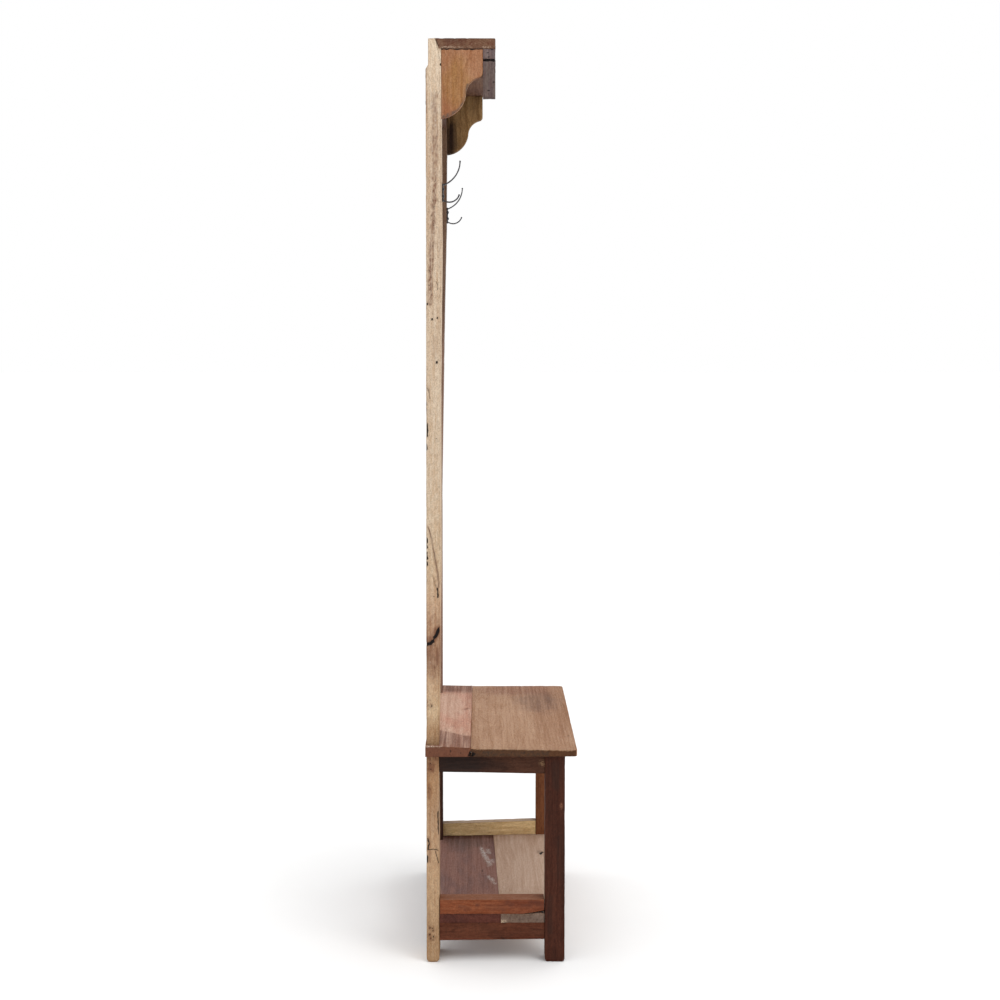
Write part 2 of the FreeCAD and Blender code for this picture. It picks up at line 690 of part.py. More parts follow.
def cut_holes(pieces, groups):
    """Holes for every fastener in the pieces that it passes through."""
    for node, piece in pieces.items():
        for fasteners in groups.values():
            near = [f for f in fasteners if f.BoundBox.intersect(piece.BoundBox)]
            if near:
                piece = piece.cut(near)
        pieces[node] = solid_of(piece)
    recessed = recess_for(groups["seat_screws"] + groups["shelf_screws"])
    for node in list(pieces):
        if node.startswith(("side_apron", "front_apron", "lower_rail")):
            pieces[node] = solid_of(pieces[node].cut(recessed))


def build():
    """All nodes of the hall tree, by name."""
    pieces = wooden_pieces()
    cut_mortises(pieces)
    for name, side in SIDES:
        pieces["coat_hook_" + name] = hook(name, side)
    groups = {
        "hook_screws": hook_screws(),
        "bracket_screws": bracket_screws(),
        "crown_nails": crown_nails(),
        "block_nails": block_nails(),
        "seat_screws": seat_screws(),
        "shelf_screws": shelf_screws(),
    }
    cut_holes(pieces, groups)
    for node, fasteners in groups.items():
        pieces[node] = Part.makeCompound(fasteners)
    return pieces


os.makedirs("parts", exist_ok=True)
for node_name, node_shape in build().items():
    node_shape.exportStep("parts/" + node_name + ".step")
    print(node_name, len(node_shape.Solids), round(node_shape.Volume / 1000, 1), node_shape.isValid())
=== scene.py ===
import math
from functools import partial
from itertools import product

import bpy
import numpy as np
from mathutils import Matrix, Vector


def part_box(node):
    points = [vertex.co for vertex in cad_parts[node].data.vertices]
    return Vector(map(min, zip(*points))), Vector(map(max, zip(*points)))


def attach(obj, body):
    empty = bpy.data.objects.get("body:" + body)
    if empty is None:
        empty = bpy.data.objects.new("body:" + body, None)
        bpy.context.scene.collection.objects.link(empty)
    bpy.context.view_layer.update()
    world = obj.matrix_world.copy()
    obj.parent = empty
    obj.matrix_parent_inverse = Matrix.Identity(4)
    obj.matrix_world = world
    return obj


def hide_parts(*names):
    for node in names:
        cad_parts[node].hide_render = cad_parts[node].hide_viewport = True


# The looks of a narrow hall tree of reclaimed wood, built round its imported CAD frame.
#
# Metres, in the frame's own axes: +Z up, the front faces -Y, the left side is at -X.
# Heights and distances "forward" (from the posts' rear face towards the front) are given
# in millimetres and turned into metres where they are used. An x is in metres throughout.
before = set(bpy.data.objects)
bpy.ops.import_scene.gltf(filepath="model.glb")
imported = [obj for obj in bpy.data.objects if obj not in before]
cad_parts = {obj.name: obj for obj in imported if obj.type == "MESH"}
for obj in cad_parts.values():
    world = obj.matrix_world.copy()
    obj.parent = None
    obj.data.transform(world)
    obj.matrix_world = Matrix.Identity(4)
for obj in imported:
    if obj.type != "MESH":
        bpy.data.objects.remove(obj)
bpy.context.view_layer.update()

MM = 0.001
X, Y, Z = 0, 1, 2


# ---------------------------------------------------------------- places from the frame
def corners_of(node):
    """The lowest and highest corner of a CAD node as arrays, in metres."""
    low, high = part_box(node)
    return np.array(low), np.array(high)


REAR_Y = corners_of("rear_post_left")[1][Y]
LEFT_X = corners_of("rear_post_left")[0][X]
RIGHT_X = corners_of("rear_post_right")[1][X]
SIDES = (("left", -1), ("right", 1))
SAME_FACE = 0.05 * MM


def mesh_points(node):
    """The vertices of a CAD node's mesh."""
    return np.array([v.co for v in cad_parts[node].data.vertices], float)


def face_points(node, x):
    """The vertices of a CAD node that lie on its side face at x."""
    points = mesh_points(node)
    return points[np.abs(points[:, X] - x) < SAME_FACE]


def outline_of(node, face_x):
    """Two functions that give the y of a node's front and rear edge at a height.

    Only the CAD vertices on the side face at face_x count, so mortises and holes don't.
    """
    points = face_points(node, face_x)
    middle = points[:, Y].mean()
    edges = []
    for keep in (points[:, Y] < middle, points[:, Y] >= middle):
        side = points[keep]
        side = side[np.lexsort((side[:, Y], side[:, Z]))]
        edges.append(partial(np.interp, xp=side[:, Z], fp=side[:, Y]))
    return edges


def straight(value):
    """An edge that has the same value at every place."""

    def edge(place):
        return np.full(len(place), value)

    return edge


# ---------------------------------------------------------------- noise
def noise(points, size, seed):
    """Smooth noise from -1 to 1 at each point. Its features have the given size, per axis."""
    place = points / np.broadcast_to(size, 3) + 31.7 * (seed + 1)
    cell = np.floor(place).astype(np.int64)
    part = place - cell
    part = part * part * (3 - 2 * part)
    total = np.zeros(len(points))
    for corner in product((0, 1), repeat=3):
        at = cell + corner
        mixed = at[:, 0] * 374761393 + at[:, 1] * 668265263 + at[:, 2] * 1442695041
        mixed = ((mixed ^ (mixed >> 13)) * 1274126177) & 0xFFFFFFFF
        value = ((mixed ^ (mixed >> 16)) & 0xFFFF) / 32767.5 - 1
        weight = np.prod(np.where(corner, part, 1 - part), axis=1)
        total += value * weight
    return total


OCTAVES = 3


def rough_noise(points, size, seed):
    """Noise with finer detail added on top, from about -1 to 1."""
    total = np.zeros(len(points))
    for i in range(OCTAVES):
        total += noise(points, np.array(size) * 0.5**i, seed + i) * 0.5**i
    return total / (2 - 0.5 ** (OCTAVES - 1))


def smooth_step(value, low, high):
    """0 below low, 1 above high, and a smooth rise between them."""
    t = np.clip((value - low) / (high - low), 0, 1)
    return t * t * (3 - 2 * t)


# ---------------------------------------------------------------- board meshes
EDGE_RIM = (0.0, 0.12, 0.35, 0.65)  # extra grid lines on a rounded edge, in edge radii
LINE_GAP = 0.3 * MM  # the least distance between a set grid line and its neighbours


def grid_lines(low, high, step, ease, extra=()):
    """Places of the grid lines along one axis: close together on the rounded edges."""
    count = max(2, round((high - low - 2 * ease) / step) + 1)
    inner = np.linspace(low + ease, high - ease, count)
    rim = ease * np.array(EDGE_RIM)
    lines = np.concatenate([low + rim, inner, high - rim[::-1]])
    for value in extra:
        lines = lines[np.abs(lines - value) > LINE_GAP]
    return np.sort(np.concatenate([lines, np.array(extra, float)]))


def filled_cells(lines, notches):
    """Which cells of the grid are wood: all of them but those inside a notch."""
    middles = [(axis[:-1] + axis[1:]) / 2 for axis in lines]
    filled = np.ones([len(m) for m in middles], bool)
    for low, high in notches:
        inside = [(m > low[i]) & (m < high[i]) for i, m in enumerate(middles)]
        filled &= ~(inside[0][:, None, None] & inside[1][None, :, None] & inside[2][None, None, :])
    return filled


def surface_of(lines, filled):
    """The closed surface of quads between the filled cells and the empty ones."""
    counts = [len(axis) for axis in lines]
    index = np.arange(np.prod(counts)).reshape(counts)
    padded = np.pad(filled, 1).astype(np.int8)
    quads = []
    for axis in range(3):
        inner = [slice(1, -1)] * 3
        inner[axis] = slice(None)
        change = np.diff(padded[tuple(inner)], axis=axis)
        one, two = [a for a in range(3) if a != axis]
        for sign in (-1, 1):
            place = np.argwhere(change == -sign)
            ring = ((0, 0), (1, 0), (1, 1), (0, 1))
            if (sign < 0) != (axis == 1):
                ring = ring[::-1]
            quad = []
            for step in ring:
                corner = place.copy()
                corner[:, one] += step[0]
                corner[:, two] += step[1]
                quad.append(index[tuple(corner.T)])
            quads.append(np.stack(quad, axis=1))
    quads = np.concatenate(quads)
    used, quads = np.unique(quads, return_inverse=True)
    grid = np.unravel_index(used, counts)
    points = np.stack([lines[i][grid[i]] for i in range(3)], axis=1)
    return points, quads.reshape(-1, 4)


def ease_edges(points, low, high, radius):
    """Rounds the box's edges, with a radius given for each point."""
    radius = radius[:, None]
    core = np.clip(points, low + radius, high - radius)
    out = points - core
    reach = np.abs(out).max(axis=1, keepdims=True)
    length = np.linalg.norm(out, axis=1, keepdims=True)
    scale = np.divide(reach, length, out=np.ones_like(reach), where=length > 0)
    return core + out * scale


def normals_of(points, quads):
    """A unit normal for each point, from the quads round it."""
    a, b, c, d = (points[quads[:, i]] for i in range(4))
    face = np.cross(c - a, d - b)
    total = np.zeros_like(points)
    for i in range(4):
        np.add.at(total, quads[:, i], face)
    length = np.linalg.norm(total, axis=1, keepdims=True)
    return total / np.maximum(length, 1e-12)


def rim_distance(points, low, high):
    """How far each point of the box's surface is from the nearest edge."""
    gaps = np.sort(np.minimum(points - low, high - points), axis=1)
    return gaps[:, 1]


def mesh_object(name, points, faces):
    """A new object with a smooth-shaded mesh of quads."""
    if not np.isfinite(points).all():
        raise ValueError(name + " has points that aren't numbers")
    mesh = bpy.data.meshes.new(name)
    mesh.vertices.add(len(points))
    mesh.vertices.foreach_set("co", points.astype(np.float32).ravel())
    mesh.loops.add(faces.size)
    mesh.loops.foreach_set("vertex_index", faces.astype(np.int32).ravel())
    mesh.polygons.add(len(faces))
    mesh.polygons.foreach_set("loop_start", np.arange(0, faces.size, faces.shape[1], dtype=np.int32))
    mesh.update(calc_edges=True)
    mesh.validate()
    mesh.shade_smooth()
    piece = bpy.data.objects.new(name, mesh)
    bpy.context.scene.collection.objects.link(piece)
    return piece


def store(piece, **values):
    """Keeps a number for each point of a mesh, which its material reads by name."""
    for name, value in values.items():
        if not np.isfinite(value).all():
            raise ValueError(piece.name + " has a " + name + " that isn't a number")
        attribute = piece.data.attributes.new(name, "FLOAT", "POINT")
        attribute.data.foreach_set("value", np.asarray(value, np.float32))


# ---------------------------------------------------------------- weather and wear
WARP_SIZE = 6 * MM
WARP = 0.9 * MM
SPECK_SIZE = (2.4 * MM, 2.4 * MM, 3.6 * MM)
PIT_SIZE = (2.4 * MM, 2.0 * MM, 3.0 * MM)
PIT_DEPTH = 0.6


EVEN = (1, 1, 1)
THROUGH = (0.35, 1, 1)  # a mark on a side face that reaches some way into the wood


class Marks:
    """Knots, cracks, stains, painted shadows and painted highlights on one piece. Lines are in metres, other
    lengths in millimetres.
    """

    def __init__(self, points):
        self.points = points
        shake = [noise(points, WARP_SIZE, seed) for seed in (11, 12, 13)]
        self.shaken = points + WARP * np.stack(shake, axis=1)
        self.depth = np.zeros(len(points))
        self.crack = np.zeros(len(points))
        self.stain = np.zeros(len(points))
        self.pale = np.zeros(len(points))

    def distance(self, line, squeeze):
        """The distance of every point to a line of points. Squeeze shortens an axis."""
        squeeze = np.array(squeeze, float)
        here = self.shaken * squeeze
        line = [np.array(p, float) * squeeze for p in line]
        if len(line) == 1:
            return np.linalg.norm(here - line[0], axis=1)
        nearest = np.full(len(here), np.inf)
        for start, end in zip(line[:-1], line[1:]):
            run = end - start
            share = np.clip((here - start) @ run / max(run @ run, 1e-12), 0, 1)
            away = np.linalg.norm(here - start - share[:, None] * run, axis=1)
            nearest = np.minimum(nearest, away)
        return nearest

    def ragged(self, size):
        """A factor round 1 that makes the rim of a mark uneven."""
        return 1 + 0.45 * noise(self.points, size, 17)

    def add_crack(self, line, width, depth, strength, squeeze=EVEN):
        """A dark groove of that width and depth."""
        width = width * MM
        away = self.distance(line, squeeze) * self.ragged(3.5 * MM)
        near = 1 - smooth_step(away, 0.2 * width, width)
        self.crack = np.maximum(self.crack, near * strength)
        self.depth = np.maximum(self.depth, near * (depth * MM))

    def add_stain(self, line, width, strength, squeeze=EVEN, core=0.15):
        """A brown tone that fades out over that width, from its core outwards."""
        width = width * MM
        away = self.distance(line, squeeze) * self.ragged(9 * MM)
        near = 1 - smooth_step(away, core * width, width)
        self.stain = np.maximum(self.stain, near * strength)

    def add_area(self, inside, strength, softness=6):
        """A brown tone wherever inside, in metres, is above zero."""
        inside = inside + 3 * MM * noise(self.points, 14 * MM, 41)
        rise = smooth_step(inside, -(softness * MM), softness * MM)
        self.stain = np.maximum(self.stain, rise * strength)

    def add_pale(self, line, width, strength, squeeze=EVEN):
        """A pale patch, used for plaster, light scratches and painted highlights."""
        width = width * MM
        near = 1 - smooth_step(self.distance(line, squeeze), 0.3 * width, width)
        self.pale = np.maximum(self.pale, near * strength)

    def add_mottled(self, line, width, strength, squeeze=EVEN, pits=0.0, flecks=0.0):
        """A speckled brown streak, with dark pits and pale flecks in it."""
        width = width * MM
        near = 1 - smooth_step(self.distance(line, squeeze) * self.ragged(7 * MM), 0.35 * width, width)
        speck = smooth_step(noise(self.points, SPECK_SIZE, 31), -0.5, 0.45)
        self.stain = np.maximum(self.stain, near * strength * (0.35 + 0.65 * speck))
        pit = near * smooth_step(noise(self.points, PIT_SIZE, 32), 0.42, 0.75) * pits
        self.crack = np.maximum(self.crack, pit)
        self.depth = np.maximum(self.depth, pit * PIT_DEPTH * MM)
        fleck = near * smooth_step(noise(self.points, PIT_SIZE, 33), 0.5, 0.8) * flecks
        self.pale = np.maximum(self.pale, fleck)


class Face:
    """One face of a piece that marks are put on. Each place is a pair in the face's own way."""

    def __init__(self, marks, place, squeeze):
        self.marks = marks
        self.place = place
        self.squeeze = squeeze

    def line(self, places):
        return [self.place(*pair) for pair in places]

    def crack(self, width, depth, strength, *places, squeeze=None):
        self.marks.add_crack(self.line(places), width, depth, strength, squeeze or self.squeeze)

    def stain(self, width, strength, *places, squeeze=None, **more):
        self.marks.add_stain(self.line(places), width, strength, squeeze or self.squeeze, **more)

    def pale(self, width, strength, *places, squeeze=None):
        self.marks.add_pale(self.line(places), width, strength, squeeze or self.squeeze)

    def mottled(self, width, strength, *places, squeeze=None, **more):
        self.marks.add_mottled(self.line(places), width, strength, squeeze or self.squeeze, **more)


def at(x, forward, z):
    """A point in metres from an x in metres, and millimetres forward and up."""
    return (x, REAR_Y - forward * MM, z * MM)


def side_face(marks, x, squeeze=EVEN):
    """The upright face at x. Places on it are (forward, height) in millimetres."""
    return Face(marks, partial(at, x), squeeze)


def top_face(marks, z):
    """The face that looks up at a height z in millimetres. Places on it are (x, forward)."""
    return Face(marks, partial(at, z=z), EVEN)


def weather(points, quads, edge, grain, marks, seed, uneven, nick, hold):
    """Moves the surface inwards where it is worn, chipped, knotted or cracked.

    hold is 1 where the surface lies against another board and isn't worn.
    """
    size = np.full(3, 35 * MM)
    size[grain] = 160 * MM
    wave = (rough_noise(points, size, seed) + 1) / 2 * uneven
    chips = smooth_step(noise(points, 8 * MM, seed + 5), 0.35, 0.8) * edge**2
    long_chips = smooth_step(noise(points, 26 * MM, seed + 6), 0.45, 0.8) * edge
    depth = (np.clip(wave, 0, None) + nick * (chips * 0.6 + long_chips)) * (1 - hold) + marks.depth
    return points - normals_of(points, quads) * depth[:, None]


EDGE_FADE = 3.5 * MM
END_FADE = 0.8 * MM
TIGHT_RADIUS = 0.3 * MM


def board(name, grain, *, step=(5, 3, 3), ease=2.2, low=None, high=None, extra=((), (), ()),
          notches=(), shape=None, marks=None, seed=1, uneven=0.5, nick=1.3, tight=()):
    """A weathered board in place of a CAD node. Lengths are in millimetres.

    step is the grid along the grain, and across it in the other two axes in turn. shape moves
    the box's points to the board's real outline, and marks adds its knots and cracks. tight
    names the faces, as (axis, side) or (axis, side, height to start at), that lie against another
    board and stay flat and sharp.
    """
    box_low, box_high = corners_of(name)
    low = box_low if low is None else np.array(low, float)
    high = box_high if high is None else np.array(high, float)
    steps = list(step[1:])
    steps.insert(grain, step[0])
    lines = [
        grid_lines(low[i], high[i], steps[i] * MM, min(ease * MM, (high[i] - low[i]) / 3), extra[i])
        for i in range(3)
    ]
    points, quads = surface_of(lines, filled_cells(lines, notches))
    edge = np.exp(-rim_distance(points, low, high) / EDGE_FADE)
    to_end = np.minimum(points[:, grain] - low[grain], high[grain] - points[:, grain])
    end = np.exp(-to_end / END_FADE)
    radius = ease * MM * (0.55 + 0.45 * noise(points, 22 * MM, seed + 3))
    radius = np.maximum(radius, 0.2 * ease * MM)
    hold = np.zeros(len(points))
    for axis, side, *start in tight:
        face = (low, high)[side > 0][axis]
        near_face = 1 - smooth_step(np.abs(points[:, axis] - face), 1 * MM, 8 * MM)
        if start:
            near_face *= smooth_step(points[:, Z], start[0] - 12 * MM, start[0])
        hold = np.maximum(hold, near_face)
    radius = radius * (1 - hold) + TIGHT_RADIUS * hold
    points = ease_edges(points, low, high, radius)
    if shape is not None:
        points = shape(points, low, high)
    scars = Marks(points)
    if marks is not None:
        marks(scars)
    points = weather(points, quads, edge, grain, scars, seed, uneven * MM, nick * MM, hold)
    points = np.clip(points, box_low, box_high)
    piece = mesh_object(name + "_wood", points, quads)
    store(piece, edge=edge, end=end, crack=scars.crack, stain=scars.stain, pale=scars.pale)
    return finish_piece(piece, name)


def finish_piece(piece, *nodes):
    """Makes a piece ride on the frame in place of CAD nodes."""
    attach(piece, "root")
    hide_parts(*nodes)
    return piece


# ---------------------------------------------------------------- the boards' real outlines
def follow(axis, by, low_edge, high_edge):
    """A shape that stretches one axis between two edges that vary along another axis."""

    def shape(points, low, high):
        share = (points[:, axis] - low[axis]) / (high[axis] - low[axis])
        start = low_edge(points[:, by])
        end = high_edge(points[:, by])
        moved = points.copy()
        moved[:, axis] = start + share * (end - start)
        return moved

    return shape


def top_heights(node):
    """The height of a seat board's top face at its corners, from the CAD mesh."""
    points = mesh_points(node)
    low, high = corners_of(node)
    heights = {}
    for side, front in product((0, 1), repeat=2):
        x = (low[X], high[X])[side]
        y = (high[Y], low[Y])[front]
        corner = np.array([x, y])
        upper = points[points[:, Z] > low[Z] + 5 * MM]
        nearest = np.argmin(np.linalg.norm(upper[:, :2] - corner, axis=1))
        heights[side, front] = upper[nearest, Z]
    return heights


def uneven_top(node):
    """A shape whose top face has its own height at each of its four corners."""
    heights = top_heights(node)

    def shape(points, low, high):
        right = (points[:, X] - low[X]) / (high[X] - low[X])
        front = (high[Y] - points[:, Y]) / (high[Y] - low[Y])
        rear_height = heights[0, 0] + right * (heights[1, 0] - heights[0, 0])
        front_height = heights[0, 1] + right * (heights[1, 1] - heights[0, 1])
        top = rear_height + front * (front_height - rear_height)
        moved = points.copy()
        moved[:, Z] = low[Z] + (points[:, Z] - low[Z]) / (high[Z] - low[Z]) * (top - low[Z])
        return moved

    return shape


def rounded_corners(base, radius):
    """A shape with the two front corners of a seat board rounded in plan as well."""

    def shape(points, low, high):
        moved = base(points, low, high)
        for side, x in ((-1, low[X]), (1, high[X])):
            centre = np.array([x - side * radius, low[Y] + radius])
            out = moved[:, :2] - centre
            corner = (out[:, 0] * side > 0) & (out[:, 1] < 0)
            reach = np.abs(out).max(axis=1)
            length = np.maximum(np.linalg.norm(out, axis=1), 1e-9)
            scale = np.where(corner, reach / length, 1.0)[:, None]
            moved[:, :2] = centre + out * scale
        return moved

    return shape


# ---------------------------------------------------------------- material nodes
def rgb(red, green, blue):
    """A display colour from 0 to 255 as the linear colour that a shader takes."""
    values = []
    for value in (red, green, blue):
        share = value / 255
        values.append(share / 12.92 if share <= 0.04045 else ((share + 0.055) / 1.055) ** 2.4)
    return (*values, 1.0)


class Nodes:
    """Builds one material. Each call adds a node and gives its output socket."""

    def __init__(self, name):
        self.material = bpy.data.materials.new(name)
        self.material.use_nodes = True
        self.tree = self.material.node_tree
        self.tree.nodes.clear()

    def add(self, kind, inputs, out=0, **settings):
        node = self.tree.nodes.new("ShaderNode" + kind)
        for key, value in settings.items():
            setattr(node, key, value)
        for key, value in inputs.items():
            if isinstance(value, bpy.types.NodeSocket):
                self.tree.links.new(value, node.inputs[key])
            else:
                node.inputs[key].default_value = value
        return node.outputs[out] if node.outputs else None

    def math(self, operation, a, b=0.0, clamp=False):
        return self.add("Math", {0: a, 1: b}, operation=operation, use_clamp=clamp)

    def times(self, a, b, clamp=False):
        return self.math("MULTIPLY", a, b, clamp)

    def plus(self, a, b, clamp=False):
        return self.math("ADD", a, b, clamp)

    def level(self, value, low, high):
        """0 below low, 1 above high, and a smooth rise between."""
        ends = {"Value": value, "From Min": low, "From Max": high}
        return self.add("MapRange", ends, interpolation_type="SMOOTHSTEP")

    def mix(self, share, a, b, blend="MIX"):
        return self.add("Mix", {0: share, 6: a, 7: b}, out=2, data_type="RGBA", blend_type=blend)

    def noise(self, vector, scale, detail=2.0, roughness=0.55):
        inputs = {"Vector": vector, "Scale": scale, "Detail": detail, "Roughness": roughness}
        return self.add("TexNoise", inputs)

    def stretch(self, vector, scale):
        return self.add("VectorMath", {0: vector, 1: scale}, operation="MULTIPLY")

    def shift(self, vector, offset):
        return self.add("VectorMath", {0: vector, 1: offset}, operation="ADD")

    def attribute(self, name):
        return self.add("Attribute", {}, out=2, attribute_name=name)

    def place(self):
        """The point in the object's own coordinates."""
        return self.add("TexCoord", {}, out=3)

    def parts(self, vector):
        """The three outputs of a vector's axes."""
        split = self.tree.nodes.new("ShaderNodeSeparateXYZ")
        self.tree.links.new(vector, split.inputs[0])
        return split.outputs

    def ramp(self, share, stops):
        node = self.tree.nodes.new("ShaderNodeValToRGB")
        self.tree.links.new(share, node.inputs[0])
        elements = node.color_ramp.elements
        while len(elements) < len(stops):
            elements.new(1.0)
        for element, (place, colour) in zip(elements, sorted(stops)):
            element.position = place
            element.color = colour
        return node.outputs[0]

    def finish(self, colour, roughness, height, bump=0.4 * MM, metallic=0.0, specular=0.12):
        normal = self.add("Bump", {"Strength": 1.0, "Distance": bump, "Height": height})
        shader = {
            "Base Color": colour,
            "Roughness": roughness,
            "Normal": normal,
            "Metallic": metallic,
            "Specular IOR Level": specular,
        }
        surface = self.add("BsdfPrincipled", shader)
        self.add("OutputMaterial", {"Surface": surface})
        return self.material


def grain_coordinates(nodes, grain):
    """Object coordinates with the grain as the first axis."""
    order = [grain] + [axis for axis in (X, Y, Z) if axis != grain]
    split = nodes.parts(nodes.place())
    return nodes.add("CombineXYZ", {i: split[axis] for i, axis in enumerate(order)})


SWAY = 55 * MM  # how far the rings wander along the board
RIPPLE = 1.8 * MM

# The layers of a wood's figure: features per metre along and across the grain, detail,
# roughness, and the noise values where the layer starts and where it is full.
STREAKS = (3.0, 150, 4.0, 0.6, 0.36, 0.66)
FIBRES = (16, 900, 3.0, 0.6, 0.32, 0.68)
PORES = (110, 2100, 1.0, 0.5, 0.63, 0.72)
SPECKS = (90, 300, 4.0, 0.7, 0.34, 0.66)
GRIT = (380, 560, 3.0, 0.7, 0.3, 0.62)
PORE_TONE = (0.35, 0.25, 0.2, 1.0)
CRACK_AND_SHADE_TONE = (0.012, 0.009, 0.008, 1.0)
MOTTLE = 1.1  # how strong the fine speckle is
TALL = 1.8  # the height that the zones of colour are spread over


def layer(nodes, place, along, across, detail, roughness, start, full):
    """One layer of a wood's figure, drawn out along the grain, from 0 to 1."""
    stretched = nodes.stretch(place, (along, across, across))
    return nodes.level(nodes.noise(stretched, 1.0, detail, roughness), start, full)


def growth_rings(nodes, place, gap, pith):
    """Dark latewood lines of the growth rings round a wandering pith, from 0 to 1."""
    sway = nodes.noise(nodes.stretch(place, (2.2, 14, 14)), 1.0, 3.0)
    ripple = nodes.noise(nodes.stretch(place, (14, 90, 90)), 1.0, 2.0)
    across = nodes.stretch(nodes.shift(place, (0, -pith[0], -pith[1])), (0, 1, 1))
    radius = nodes.add("VectorMath", {0: across}, out=1, operation="LENGTH")
    radius = nodes.plus(radius, nodes.times(sway, SWAY))
    radius = nodes.plus(radius, nodes.times(ripple, RIPPLE))
    part = nodes.math("FRACT", nodes.times(radius, 1 / gap))
    late = nodes.math("POWER", part, 3.0)
    return nodes.times(late, nodes.level(part, 1.0, 0.93))


def zone_colour(nodes, zones, cloud):
    """A base colour that changes with height, through (height in millimetres, colour) stops."""
    wander = nodes.times(nodes.math("SUBTRACT", cloud, 0.5), 0.05 * TALL)
    height = nodes.plus(nodes.parts(nodes.place())[Z], wander)
    share = nodes.math("DIVIDE", height, TALL, clamp=True)
    return nodes.ramp(share, [(z * MM / TALL, rgb(*colour)) for z, colour in zones])


def wood(name, grain, base, *, dark=(0.50, 0.38, 0.30), ring=0.5, streak=0.7, fibre=0.5, gap=4.5,
         pith=(90, 140), blotch=None, stain=(70, 35, 20), pale=(205, 198, 190),
         edge=(0.80, 0.72, 0.66), end=(0.60, 0.50, 0.44), gloss=0.62, zones=None, patch=(), top=None):
    """A material of solid wood, cut through in any direction, weathered on its surface.

    base is the display colour of the pale wood; dark, edge and end are what it is multiplied
    by in the streaks, along the worn edges and on end grain. zones are base colours by height,
    and top is the (colour, amount) that faces which look up are blended towards.
    """
    nodes = Nodes(name)
    place = grain_coordinates(nodes, grain)
    rings = growth_rings(nodes, place, gap * MM, [v * MM for v in pith])
    streaks, fine, pores, specks, grit = (
        layer(nodes, place, *look) for look in (STREAKS, FIBRES, PORES, SPECKS, GRIT)
    )
    cloud = nodes.noise(nodes.stretch(place, (6, 26, 26)), 1.0, 3.0, 0.6)

    colour = zone_colour(nodes, zones, cloud) if zones else rgb(*base)
    if blotch:
        tone, amount = blotch
        colour = nodes.mix(nodes.times(nodes.level(cloud, 0.42, 0.66), amount), colour, rgb(*tone))
    for low, high, tone, amount in patch:
        along_grain = nodes.plus(nodes.times(streaks, 0.5), 0.62)
        mask = nodes.times(patch_mask(nodes, low, high, amount), along_grain, clamp=True)
        colour = nodes.mix(mask, colour, rgb(*tone))
    if top:
        tone, amount = top
        upward = nodes.parts(nodes.add("TexCoord", {}, out=1))[Z]
        colour = nodes.mix(nodes.times(nodes.level(upward, 0.5, 0.9), amount), colour, rgb(*tone))

    figure = nodes.times(rings, ring)
    figure = nodes.plus(figure, nodes.times(specks, MOTTLE * 0.4))
    figure = nodes.plus(figure, nodes.times(streaks, streak * 0.55))
    figure = nodes.plus(figure, nodes.times(fine, fibre * 0.45), clamp=True)
    colour = nodes.mix(figure, colour, (*dark, 1.0), "MULTIPLY")
    colour = nodes.mix(nodes.times(pores, 0.35), colour, PORE_TONE, "MULTIPLY")
    salt = nodes.plus(nodes.times(grit, 0.34 * MOTTLE), 1 - 0.19 * MOTTLE)
    colour = nodes.mix(1.0, colour, salt, "MULTIPLY")

    wear = nodes.times(nodes.attribute("edge"), nodes.level(nodes.plus(cloud, fine), 0.5, 1.3))
    colour = nodes.mix(wear, colour, (*edge, 1.0), "MULTIPLY")
    colour = nodes.mix(nodes.attribute("end"), colour, (*end, 1.0), "MULTIPLY")
    # These layers hold real stains and cracks, and painted shadow lines and bands as well.
    brown = nodes.times(nodes.attribute("stain"), nodes.level(streaks, -0.6, 0.9))
    brown = nodes.times(brown, nodes.plus(nodes.times(grit, 0.6), 0.5), clamp=True)
    colour = nodes.mix(brown, colour, rgb(*stain))
    light = nodes.times(nodes.attribute("pale"), nodes.level(nodes.noise(place, 420, 3.0, 0.7), 0.42, 0.6))
    colour = nodes.mix(light, colour, rgb(*pale))
    colour = nodes.mix(nodes.level(nodes.attribute("crack"), 0.15, 0.8), colour, CRACK_AND_SHADE_TONE)

    rough = nodes.plus(nodes.times(figure, 0.16), nodes.times(cloud, 0.14))
    rough = nodes.plus(rough, gloss - 0.12)
    rough = nodes.plus(rough, nodes.times(wear, 0.1), clamp=True)
    height = nodes.plus(nodes.times(rings, -0.45 * ring), nodes.times(fine, -0.35))
    height = nodes.plus(height, nodes.times(streaks, -0.35))
    height = nodes.plus(height, nodes.times(pores, -0.5))
    return nodes.finish(colour, rough, height)


def patch_mask(nodes, low, high, amount):
    """A soft-edged box of a different tone, in metres, from 0 to amount; it serves for discoloured wood and
    for painted shade.
    """
    place = nodes.place()
    wobble = nodes.add("TexNoise", {"Vector": place, "Scale": 28.0, "Detail": 3.0}, out=1)
    wobble = nodes.stretch(nodes.shift(wobble, (-0.5, -0.5, -0.5)), (0.05, 0.03, 0.03))
    local = nodes.shift(nodes.shift(place, wobble), [-(a + b) / 2 for a, b in zip(low, high)])
    local = nodes.stretch(local, [1 / ((b - a) / 2) for a, b in zip(low, high)])
    away = nodes.add("VectorMath", {0: local}, out=1, operation="LENGTH")
    return nodes.times(nodes.level(away, 1.1, 0.5), amount)


